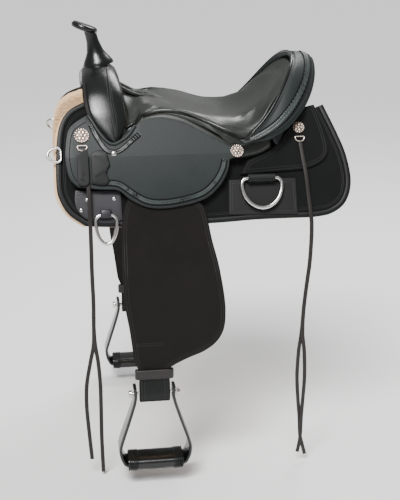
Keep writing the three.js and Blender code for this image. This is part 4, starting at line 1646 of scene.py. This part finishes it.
# ---------------------------------------------------------------- rigging
def dee_line(width: float, height: float, corner: float, count: int = 140) -> np.ndarray:
    """Closed flat dee in metres: its straight bar's middle is the origin and its loop hangs down.

    Args:
        width: Size along the bar.
        height: Size across the bar.
        corner: Radius of the corners at the bar.
        count: Number of samples.

    Returns:
        The closed line as an (n, 2) array.
    """
    half = width / 2
    quarter = np.linspace(0, math.pi / 2, 10)
    first = np.column_stack([half - corner + corner * np.cos(quarter), -corner + corner * np.sin(quarter)])
    second = np.column_stack([corner - half - corner * np.sin(quarter), -corner + corner * np.cos(quarter)])
    low = np.linspace(math.pi, 2 * math.pi, 60)
    round_ = np.column_stack([half * np.cos(low), -corner + (height - corner) * np.sin(low)])
    loop = np.vstack([first, second, round_]) * MM
    loop = even(loop, np.sum(np.linalg.norm(np.diff(loop, axis=0), axis=1)) / count)
    return np.column_stack([loop, np.zeros(len(loop))])


@dataclass
class Rigging:
    """Rigging leathers, ring, dees and their tab on one side.

    Args:
        side: The side of the saddle.
        front: Runs of the front rigging leather's outline.
        rear: Runs of the rear rigging leather's outline.
    """

    side: Side
    front: tuple[Points, ...] = (
        ((-290, -66), (-196, -69)), ((-196, -69), (-194, -126)),
        ((-194, -126), (-214, -131), (-246, -129), (-272, -120), (-288, -102), (-292, -84), (-290, -66)),
    )
    rear: tuple[Points, ...] = (
        ((33, -56), (178, -56)), ((178, -56), (178, -128)), ((178, -128), (29, -124)),
        ((29, -124), (33, -56)),
    )

    def _loop(self, name: str, line: np.ndarray, wire: float, at: tuple[float, ...],
              turn: bool = False) -> None:
        """Add one bent wire on its own body.

        Args:
            name: Name of the loop without its side.
            line: Its closed flat line in metres.
            wire: Thickness of the wire.
            at: Where the line starts from.
            turn: Whether it hangs across the saddle.
        """
        out = np.repeat([[0.0, 0.0, 1.0]], len(line), axis=0)
        shape = sweep(line, out, oval(wire * MM, wire * MM, 16, 2.0), closed=True)
        if turn:
            shape = shape.placed(lambda v: np.column_stack([v[:, 1], -v[:, 0], v[:, 2]]))
        shape = seated(shape, skirt_side, *at)
        word = self.side.word
        body = {"front_rigging_ring": "front_ring", "rear_rigging_dee": "rear_dee",
                "breast_collar_dee": "breast_dee"}
        piece(f"{name}_wire_{word}", shape.on(self.side), STEEL, "steel", f"{word}_{body[name]}",
              [f"{name}_{word}"])

    def build(self) -> None:
        """Make the rigging of this side."""
        word = self.side.word
        rows, rivets = [], []
        for name, runs, finish, slot in (
            ("front", self.front, RIGGING, "smooth_leather"), ("rear", self.rear, DARK_LEATHER_AND_SHADE, "rear_leather"),
        ):
            loop = outline(*runs)
            shape = panel(loop, skirt_side, 0.0009, 0.003, 0.0012)
            nodes = [f"{name}_rigging_plate_{word}"]
            piece(f"{name}_rigging_leather_{word}", shape.on(self.side), finish, slot, nodes=nodes)
            for distance in (0.004, 0.0075):
                path, out = line_on(skirt_side, inset(loop, distance), 0.0040)
                rows.append(stitches(path, out))
        for x, z in ((-266, -84), (-279, -104), (-262, -106), (-210, -84)):
            rivets.append(seated(turned([(0.5, 0), (4.2, 0), (4.2, 0.6), (3.2, 1.6), (1, 2.0)], 16),
                                 skirt_side, x, z, 3.7))
        piece(f"rigging_stitches_{word}", joined(rows).on(self.side), THREAD, "lace")
        piece(f"rigging_rivets_{word}", joined(rivets).on(self.side), STEEL, "steel")
        self._loop("front_rigging_ring", dee_line(44, 60, 12), 7.5, (-229, -116, 9.25))
        self._loop("rear_rigging_dee", dee_line(85.5, 63.5, 12), 8.5, (102, -56, 11.65))
        self._loop("breast_collar_dee", dee_line(30, 28, 7), 6, (-316, 1, 4.6), turn=True)
        tab = sweep(
            np.column_stack([np.linspace(-0.029, 0.029, 16), np.zeros(16), np.zeros(16)]),
            np.repeat([[0.0, 0.0, 1.0]], 16, axis=0), oval(0.0185, 0.0147, 20, 3.0),
        )
        piece(f"dee_wrap_{word}", seated(tab, skirt_side, 102, -56, 11.65).on(self.side), BINDING,
              "smooth_leather",
              nodes=[f"rear_dee_tab_{word}"])
        loop = [(-240, -105), (-218, -105), (-217, -122), (-241, -122)]
        strap = panel(outline(*zip(loop, loop[1:] + loop[:1])), skirt_side, 0.0040, 0.011, 0.0045)
        piece(f"ring_wrap_{word}", strap.on(self.side), RIGGING, "smooth_leather")


# ---------------------------------------------------------------- fenders and stirrups
@dataclass
class Fender:
    """Fender, its neck, keeper, stirrup leather, stirrup and bolt on one side.

    Args:
        side: The side of the saddle.
        thick: Thickness of the fender.
        neck_x: Middle of the fender's neck.
        neck_end: Height of the end of the neck.
        bolt_x: Middle of the stirrup bolt.
        bolt_z: Height of the bolt.
        stirrup_height: Height of the stirrup below the bolt.
        depth: Width of the tread.
        ear_depth: Width of the stirrup at its ears.
        runs: Runs of the fender's outline in millimetres.
    """

    side: Side
    thick: float = 0.005
    neck_x: float = -0.137
    neck_end: float = -0.471
    bolt_x: float = -0.138
    bolt_z: float = -0.503
    stirrup_height: float = 0.170
    depth: float = 0.058
    ear_depth: float = 0.034
    runs: tuple[Points, ...] = (
        ((-193, -108), (-199, -162), (-198, -285), (-188, -357), (-180, -421), (-174, -441), (-170, -452)),
        ((-170, -452), (-170, -462)),
        ((-170, -462), (-104, -462)),
        ((-104, -462), (-104, -448), (-88, -437), (-62, -425), (-28, -411), (-2, -391), (13, -364),
         (17, -328),
         (14, -287), (3, -223), (-10, -169), (-22, -108), (-44, -84), (-80, -40), (-106, 6)),
        ((-106, 6), (-108, 14), (-120, 20), (-132, 14), (-134, 6)),
        ((-134, 6), (-160, -40), (-184, -86), (-193, -108)),
    )

    @property
    def y(self) -> float:
        """The stirrup's distance from the centreline."""
        return float(fender_side(np.array(self.neck_end)))

    def _bent(self, made: bpy.types.Object, *nodes: str) -> None:
        """Blend a piece across the fender's lift.

        Args:
            made: The piece.
            nodes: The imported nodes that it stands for.
        """
        word = self.side.word
        y = -float(fender_side(np.array(-0.108))) * self.side.value
        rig.blend(made, f"{word}_hanger", f"{word}_fender", (-0.108, y, -0.105), (-0.108, y, -0.134))
        if nodes:
            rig.replaces(made, *nodes)

    def build(self) -> None:
        """Make everything that hangs on this side."""
        word = self.side.word
        loop = outline(*self.runs)
        shape = panel(loop, fender_side, -self.thick / 2, self.thick, 0.0016, (0.02, 0.006))
        made = piece(f"fender_cloth_{word}", shape.on(self.side), FENDER_CLOTH, "fender_fabric", ride=False)
        self._bent(made, f"fender_{word}", f"fender_hanger_{word}")
        rows = []
        for distance in (0.0045, 0.0095):
            flat = inset(loop, distance)
            for part in self._below(flat):
                path, out = line_on(fender_side, part, self.thick / 2 + 0.0001)
                rows.append(stitches(path, out))
        crease = np.column_stack([np.linspace(-0.172, -0.118, 20), np.full(20, -0.392)])
        for lift in (0.0, 0.005):
            path, out = line_on(fender_side, crease + [0, lift], self.thick / 2 + 0.0001)
            rows.append(stitches(path, out))
        made = piece(f"fender_stitches_{word}", joined(rows).on(self.side), THREAD, "lace", ride=False)
        self._bent(made)
        self._keeper()
        self._leather()
        self._stirrup()

    @staticmethod
    def _below(flat: np.ndarray) -> list[np.ndarray]:
        """Split a closed line into its runs between the jockey and the keeper.

        Args:
            flat: The closed line in metres.

        Returns:
            The runs, each an (n, 2) array.
        """
        runs, current = [], []
        for point in flat:
            if -0.446 < point[1] < -0.085:
                current.append(point)
            elif len(current) > 4:
                runs.append(np.array(current))
                current = []
            else:
                current = []
        if len(current) > 4:
            runs.append(np.array(current))
        return runs

    def _keeper(self) -> None:
        """Add the keeper strap round the neck."""
        word = self.side.word
        a = np.linspace(0, 2 * math.pi, 60, endpoint=False)
        bend = lambda v, p: np.sign(v) * np.abs(v) ** (2 / p)
        x, y = bend(np.cos(a), 9) * 0.0400, bend(np.sin(a), 3) * 0.0058
        path = np.column_stack([x + self.neck_x, y - self.y, np.full(60, -0.4585)])
        out = unit(np.column_stack([np.sign(x) * (np.abs(x) / 0.04) ** 8,
                                    np.sign(y) * np.abs(y / 0.0058) ** 2 + 1e-6, 0 * x]))
        shape = sweep(path, out, oval(0.0215, 0.0034, 12, 4.0), closed=True)
        piece(f"keeper_band_{word}", shape.on(self.side), STRAP, "strap_leather", f"{word}_fender",
              [f"keeper_strap_{word}"], crease=50)
        rows = []
        for z in (-0.4508, -0.4662):
            run = np.column_stack([np.linspace(-0.174, -0.100, 20), np.full(20, -self.y - 0.0077),
                                   np.full(20, z)])
            rows.append(stitches(run, np.repeat([[0.0, -1.0, 0.0]], 20, axis=0)))
        piece(f"keeper_stitches_{word}", joined(rows).on(self.side), THREAD, "lace", f"{word}_fender")

    def _leather(self) -> None:
        """Add the doubled leather from the keeper down round the bolt."""
        word, y, z = self.side.word, self.y, self.bolt_z
        right = [(0.0026, -0.452), (0.0030, -0.470), (0.0075, z + 0.014), (0.0100, z), (0.0086, z - 0.0105),
                 (0.0050, z - 0.0180), (0, z - 0.0205)]
        flat = spline(np.array(right + [(-a, b) for a, b in reversed(right[:-1])]), 5)
        n = len(flat)
        xs = np.array([-0.5, -0.495, -0.48, *np.linspace(-0.4, 0.4, 9), 0.48, 0.495, 0.5])
        pull = np.array([0.82, 0.93, 1, *np.ones(9), 1, 0.93, 0.82])
        centre = np.array([0, z])
        verts = []
        for x, share in zip(xs, pull):
            ring = flat.copy()
            ring[:, 0] *= share
            ring[:, 1] = np.where(ring[:, 1] < z, centre[1] + (ring[:, 1] - centre[1]) * share, ring[:, 1])
            verts.append(np.column_stack([np.full(n, self.neck_x + x * 0.066), ring[:, 0] - y, ring[:, 1]]))
        k = len(xs)
        faces = [
            (i * n + j, i * n + (j + 1) % n, (i + 1) * n + (j + 1) % n, (i + 1) * n + j)
            for i in range(k - 1)
            for j in range(n)
        ]
        faces += [tuple(range(n))[::-1], tuple((k - 1) * n + j for j in range(n))]
        shape = Shape(np.concatenate(verts), faces)
        rows = []
        for x in (-0.165, -0.159, -0.115, -0.109):
            run = spline(np.array([(-a, b) for a, b in right[1:5]]), 6)
            path = np.column_stack([np.full(len(run), x), run[:, 0] - y - 0.0001, run[:, 1]])
            rows.append(stitches(path, np.repeat([[0.0, -1.0, -0.15]], len(run), axis=0)))
        for name, part, finish, slot in (
            ("stirrup_strap", shape, BINDING, "strap_leather"),
            ("stirrup_strap_stitches", joined(rows), THREAD, "lace"),
        ):
            made = piece(f"{name}_{word}", part.on(self.side), finish, slot, ride=False)
            at = lambda height: (self.neck_x, -y * self.side.value, height)
            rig.blend(made, f"{word}_fender", f"{word}_stirrup_leather", at(-0.469), at(-0.490))
            if name == "stirrup_strap":
                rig.replaces(made, f"stirrup_leather_{word}")

    def _stirrup(self) -> None:
        """Add the frame, the laced tread and the bolt."""
        word, y, z = self.side.word, self.y, self.bolt_z
        body = f"{word}_stirrup"
        right = [(42, 16), (42, -11), (56, -58), (74, -112.5), (76, -131), (70.5, -149.5), (58, -160.5),
                 (0, -166.5)]
        flat = np.array([(-a, b) for a, b in right[:-1]] + right[::-1], float) * MM
        flat = even(spline(flat, 12), 0.004)
        path = np.column_stack([flat[:, 0] + self.bolt_x, np.full(len(flat), -y), flat[:, 1] + z])
        along = unit(np.gradient(path, axis=0))
        out = np.column_stack([-along[:, 2], 0 * along[:, 0], along[:, 0]])
        share = np.clip((path[:, 2] - z + self.stirrup_height) / self.stirrup_height, 0, 1)
        widths = (self.depth + (self.ear_depth - self.depth) * share) / self.depth
        frame_shape = sweep(path, out, oval(self.depth, 0.0072, 20, 5.0), widths=widths)
        piece(f"stirrup_arch_{word}", frame_shape.on(self.side), SMOOTH, "stirrup_metal", body,
              [f"stirrup_frame_{word}"], crease=50)
        rows = []
        for sign in (-1, 1):
            for shift in (-0.0016, 0.0016):
                front = path + out * shift
                front[:, 1] = -y + sign * (self.depth * widths / 2 - 0.0002)
                rows.append(stitches(front, np.repeat([[0.0, float(sign), 0.0]], len(front), axis=0)))
        piece(f"stirrup_stitches_{word}", joined(rows).on(self.side), THREAD, "lace", body)
        self._tread(body)
        pin = turned([(0.5, -56), (6.5, -55.5), (8, -52), (8, -48.5), (4, -48.5), (4, 48.5), (8, 48.5),
                      (8, 52),
                      (6.5, 55.5), (0.5, 56)], 24)
        pin = pin.placed(lambda v: np.column_stack([v[:, 2] + self.bolt_x, v[:, 1] - y, v[:, 0] + z]))
        piece(f"stirrup_pin_{word}", pin.on(self.side), STEEL, "steel", body, [f"stirrup_bolt_{word}"])

    def _tread(self, body: str) -> None:
        """Add the padded tread and the lacing at its ends.

        Args:
            body: The body that carries the stirrup.
        """
        word, y = self.side.word, self.y
        low, high = self.bolt_z - self.stirrup_height - 0.0035, self.bolt_z - 0.1445
        x = np.linspace(-0.060, 0.060, 40)
        path = np.column_stack([x + self.bolt_x, np.full(40, -y), np.full(40, (low + high) / 2)])
        up = np.repeat([[0.0, 0.0, 1.0]], 40, axis=0)
        ends = 1 - 0.10 * np.clip((np.abs(x) - 0.050) / 0.010, 0, 1)
        pad = sweep(path, up, oval(self.depth + 0.003, high - low, 24, 3.2), widths=ends)
        piece(f"tread_leather_{word}", pad.on(self.side), SMOOTH, "strap_leather", body,
              [f"stirrup_tread_{word}"], crease=50)
        laces = []
        section = oval(self.depth + 0.0045, high - low + 0.0015, 40, 3.2)
        for end in (-1, 1):
            for number in range(5):
                at = end * (0.0575 - number * 0.0040)
                ring = np.column_stack([
                    np.full(40, self.bolt_x + at) + 0.0012 * np.sign(section[:, 1]), section[:, 0] - y,
                    section[:, 1] + (low + high) / 2,
                ])
                out = unit(np.column_stack([np.zeros(40), section[:, 0], section[:, 1] * 2]))
                laces.append(sweep(ring, out, oval(0.0028, 0.0014, 6), closed=True))
        piece(f"tread_lacing_{word}", joined(laces).on(self.side), BINDING, "strap_leather", body)
        seam = np.column_stack([x * 0.72 + self.bolt_x, np.full(40, -y - self.depth / 2 - 0.0014),
                                np.full(40, low + 0.010)])
        row = stitches(seam, np.repeat([[0.0, -1.0, 0.0]], 40, axis=0))
        piece(f"tread_stitches_{word}", row.on(self.side), THREAD, "lace", body)


# ---------------------------------------------------------------- trim and laces
@dataclass
class Trim:
    """Conchos, loops, screws, the rope strap and the latigo keeper.

    Args:
        side: The side of the saddle.
        keeper: Runs of the latigo keeper's outline.
    """

    side: Side
    keeper: tuple[Points, ...] = (
        ((-255, 4), (-246, 10), (-232, 12), (-221, 6)), ((-221, 6), (-216, -16)),
        ((-216, -16), (-224, -30), (-218, -46)), ((-218, -46), (-230, -55), (-255, -51)),
        ((-255, -51), (-255, 4)),
    )

    def build(self) -> None:
        """Make this side's trim."""
        word = self.side.word
        items = (
            ("front_concho", Concho(16, 6), jockey_side, (-272, 40, 4.4)),
            ("jockey_concho", Concho(14, 5), jockey_side, (52, 3, 4.4)),
            ("rear_concho", Concho(13, 5, 5), skirt_side, (193, 40, 5.6)),
        )
        for name, concho, surface, at in items:
            plate, work = (seated(shape, surface, *at).on(self.side) for shape in concho.shapes())
            piece(f"{name}_plate_{word}", plate, OXIDE, "antique_silver", nodes=[f"{name}_{word}"])
            piece(f"{name}_silver_{word}", work, SILVER, "antique_silver")
        screw = seated(turned([(0.5, 0), (6, 0), (6, 1.2), (4.5, 2.6), (1, 3)], 24), jockey_side, -207, 6,
                       4.4)
        piece(f"fork_nail_{word}", screw.on(self.side), STEEL, "steel", nodes=[f"fork_screw_{word}"])
        loops = []
        for x, z, surface, height in ((-272, 21, jockey_side, 6.5), (193, 22, skirt_side, 8.0)):
            line = dee_line(20, 11, 2.5)
            ring = sweep(line, np.repeat([[0.0, 0.0, 1.0]], len(line), axis=0), oval(0.003, 0.003, 10, 2.0),
                         closed=True)
            loops.append(seated(ring, surface, x, z, height))
        piece(f"silver_loops_{word}", joined(loops).on(self.side), SILVER, "antique_silver")
        if self.side is Side.LEFT:
            self._straps()

    @staticmethod
    def _rounded(width: float, height: float, radius: float) -> np.ndarray:
        """Return a rounded rectangle in metres.

        Args:
            width: Size across.
            height: Size upwards.
            radius: Radius of the corners.

        Returns:
            The closed line as an (n, 2) array.
        """
        a = np.arange(64) / 64 * 2 * math.pi
        corner = np.column_stack([np.cos(a), np.sin(a)]) * radius
        return (corner + np.sign(corner) * [width / 2 - radius, height / 2 - radius]) * MM

    def _plate(self, loop: np.ndarray, at: tuple[float, float, float], thick: float) -> Shape:
        """Return a small plate with rounded edges on the jockey.

        Args:
            loop: Its flat outline in metres.
            at: Its place on the jockey.
            thick: Its thickness.

        Returns:
            The closed shape.
        """
        plate = panel(loop, lambda z: 0 * z, 0, thick, thick * 0.35, (0.01, 0.01))
        flat = plate.placed(lambda v: np.column_stack([v[:, 0], v[:, 2], -v[:, 1]]))
        return seated(flat, jockey_side, *at)

    def _straps(self) -> None:
        """Add the rope strap and the latigo keeper, which only the left side has."""
        strap = self._plate(self._rounded(24, 74, 11), (-272, -22, 10.4), 0.003)
        piece("rope_strap_leather", strap, BINDING, "tooled_leather", "rope_strap", ["rope_strap"])
        # A thin dark disc stands for the hole: painted shade.
        disc = seated(turned([(0.5, 0), (3.4, 0), (3.4, 0.35), (0.5, 0.4)], 20), jockey_side, -272, -33, 13.3)
        edge = self._rounded(20, 70, 9)
        edge = np.vstack([edge, edge[:1]])
        line = np.column_stack([edge, np.full(len(edge), 0.0031)])
        row = stitches(line, np.repeat([[0.0, 0.0, 1.0]], len(line), axis=0))
        piece("rope_strap_hole", disc, DARK_LEATHER_AND_SHADE, "tooled_leather", "rope_strap")
        piece("rope_strap_stitches", seated(row, jockey_side, -272, -22, 10.4), THREAD, "lace", "rope_strap")
        keeper = panel(outline(*self.keeper), jockey_side, 0.0044, 0.004, 0.0015)
        piece("latigo_keeper_leather", keeper, BINDING, "tooled_leather", nodes=["latigo_keeper"])
        # A thin dark strip stands for the slit: painted shade.
        slit = np.column_stack([np.linspace(-0.012, 0.014, 12), np.linspace(-0.004, 0.010, 12),
                                np.full(12, 0.0041)])
        dark = sweep(slit, np.repeat([[0.0, 0.0, 1.0]], 12, axis=0), oval(0.0055, 0.0008, 8))
        piece("latigo_slit", seated(dark, jockey_side, -237, -34, 4.4), DARK_LEATHER_AND_SHADE, "tooled_leather")


@dataclass
class Lace:
    """One flat leather string.

    Args:
        name: The CAD node that it stands for.
        length: Its real length in metres.
        points: Its route in millimetres.
        width: Its flat width in metres.
        thick: Its thickness in metres.
    """

    name: str
    length: float
    points: Points
    width: float = 0.0085
    thick: float = 0.0022

    def build(self) -> None:
        path = even(spline(mm(self.points), 12), 0.004)
        along = unit(np.gradient(path, axis=0))
        out = unit(np.cross(along, [1.0, 0.0, 0.0]))
        out = np.where(out[:, 1:2] > 0, -out, out)
        shape = sweep(path, out, oval(self.width, self.thick, 10, 3.2))
        made = piece(f"lace_{self.name}", shape, LACE, "lace", nodes=[self.name])
        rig.cord(made, exit=tuple(path[0]), length=self.length, diameter=self.width, far_end="bare",
                stiffness="limp", lay="hanging", path=path.tolist())


LACES = (
    Lace("front_string_a", 0.72, (
        (-267, -185.2, 16.8), (-265.5, -198, -7.2), (-264, -211.6, -37.2), (-263, -219.8, -57),
        (-262.5, -228, -85),
        (-262, -234.5, -115), (-262, -237.5, -140), (-262, -238, -180), (-262, -238, -240),
        (-261, -238, -300),
        (-262, -238, -360), (-264, -238, -400), (-272, -238, -440), (-281, -238, -490), (-283, -238, -540),
        (-280, -238, -600), (-275, -238, -672),
    )),
    Lace("front_string_b", 0.74, (
        (-267, -187.4, 18.2), (-265.5, -200.2, -5.9), (-264, -213.9, -36), (-263, -222.3, -56.2),
        (-262.5, -230.8, -85), (-262, -237.2, -115), (-262, -240.2, -140), (-262, -240.7, -180),
        (-262, -240.7, -240), (-261, -240.7, -300), (-262, -240.7, -360), (-260, -240.7, -400),
        (-255, -240.7, -440), (-252, -240.7, -490), (-252, -240.7, -540), (-252.5, -240.7, -620),
        (-251, -240.7, -704),
    )),
    Lace("rear_string_a", 0.73, (
        (193, -165.1, 15.5), (196, -183.3, -16.5), (199.5, -198.8, -46.8), (202, -215, -85),
        (205, -233, -128),
        (206.5, -236.5, -145), (207, -237, -180), (205, -237, -234), (200, -237, -283), (195, -237, -340),
        (192, -237, -395), (187, -237, -440), (185, -237, -500), (189, -237, -560), (193, -237, -600),
        (196, -237, -647), (202, -237, -672), (208, -237, -696),
    )),
    Lace("rear_string_b", 0.73, (
        (193, -167.2, 16.8), (196, -185.5, -15.1), (199.5, -201.2, -45.4), (202, -217.7, -84),
        (205, -235.7, -128),
        (206.5, -239.2, -145), (207, -239.7, -180), (205, -239.7, -234), (200, -239.7, -283),
        (195, -239.7, -340),
        (194, -239.7, -395), (199, -239.7, -440), (201.5, -239.7, -500), (199, -239.7, -560),
        (197, -239.7, -600),
        (196, -239.7, -647), (193.5, -239.7, -668), (190, -239.7, -688),
    )),
)


# ---------------------------------------------------------------- stage
@dataclass
class Stage:
    """Camera, floor and soft light.

    Args:
        azimuth: The camera's turn round the saddle in degrees.
        elevation: Its height angle in degrees.
        distance: Its distance in metres.
        target: The point that it faces.
        lens: Its focal length in millimetres.
        floor: Height of the floor.
    """

    azimuth: float = -8.0
    elevation: float = 18.0
    distance: float = 2.5
    target: tuple[float, float, float] = (0.0, 0.0, -0.273)
    lens: float = 76.6
    floor: float = -0.712

    def build(self) -> None:
        """Make the stage."""
        self._camera()
        mesh = bpy.data.meshes.new("floor")
        size = 40.0
        mesh.from_pydata(
            [(-size, -size, self.floor), (size, -size, self.floor), (size, size, self.floor),
             (-size, size, self.floor)],
            [], [(0, 1, 2, 3)],
        )
        pale = bpy.data.materials.new("pale floor")
        pale.use_nodes = True
        shader = pale.node_tree.nodes["Principled BSDF"]
        shader.inputs["Base Color"].default_value = (0.95, 0.95, 0.95, 1)
        shader.inputs["Roughness"].default_value = 0.9
        mesh.materials.append(pale)
        ground = bpy.data.objects.new("floor", mesh)
        bpy.context.scene.collection.objects.link(ground)
        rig.stage(ground)
        world = bpy.data.worlds.new("studio")
        world.use_nodes = True
        world.node_tree.nodes["Background"].inputs["Color"].default_value = (1.0, 1.0, 1.0, 1)
        world.node_tree.nodes["Background"].inputs["Strength"].default_value = 0.30
        bpy.context.scene.world = world
        sun = bpy.data.lights.new("sun", "SUN")
        sun.energy, sun.angle = 3.2, math.radians(28)
        made = bpy.data.objects.new("sun", sun)
        made.rotation_euler = (math.radians(32), math.radians(-14), 0)
        bpy.context.scene.collection.objects.link(made)
        self._light("key", (-1.0, -1.7, 2.2), 0.7, 55)
        self._light("rear", (0.9, 1.4, 1.9), 1.2, 50)

    def _camera(self) -> None:
        """Add the camera."""
        a, e = math.radians(self.azimuth), math.radians(self.elevation)
        back = Vector((math.sin(a) * math.cos(e), -math.cos(a) * math.cos(e), math.sin(e)))
        camera = bpy.data.objects.new("camera", bpy.data.cameras.new("camera"))
        camera.data.lens, camera.data.sensor_width = self.lens, 36.0
        camera.location = Vector(self.target) + back * self.distance
        camera.rotation_mode = "QUATERNION"
        camera.rotation_quaternion = (-back).to_track_quat("-Z", "Y")
        bpy.context.scene.collection.objects.link(camera)
        bpy.context.scene.camera = camera

    @staticmethod
    def _light(name: str, spot: tuple[float, float, float], size: float, power: float) -> None:
        """Add one soft light that faces the saddle.

        Args:
            name: Name of the light.
            spot: Where it stands.
            size: Size of its square.
            power: Its power in watts.
        """
        lamp = bpy.data.lights.new(name, "AREA")
        lamp.size, lamp.energy = size, power
        made = bpy.data.objects.new(name, lamp)
        made.location = spot
        made.rotation_mode = "QUATERNION"
        made.rotation_quaternion = (Vector((0, 0, -0.1)) - Vector(spot)).to_track_quat("-Z", "Y")
        bpy.context.scene.collection.objects.link(made)


def dress_tree() -> None:
    """Give the tree's wooden CAD parts their finish."""
    for name in ("tree_fork", "tree_bar_left", "tree_bar_right", "tree_cantle", "ground_seat"):
        node = bpy.data.objects[name]
        node.data.materials.clear()
        node.data.materials.append(WOOD.material())
        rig.slot(node, "tree_wood")
        log.info("node %s", name)


def main() -> None:
    """Build the saddle's looks in order and write the box before and after."""
    logging.basicConfig(level=logging.INFO, format="%(message)s")
    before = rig.bounds()
    Stage().build()
    for lace in LACES:
        lace.build()
    dress_tree()
    Fork().build()
    Seat().build()
    Cantle().build()
    for side in Side:
        Skirts(side).build()
        Jockeys(side).build()
        Rigging(side).build()
        Fender(side).build()
        Trim(side).build()
    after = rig.bounds()
    sizes = {"cad": [list(v) for v in before], "visual": [list(v) for v in after]}
    with open("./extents.json", "w") as file:
        json.dump(sizes, file)
    log.info("box %s", sizes)


if __name__ == "__main__":
    main()
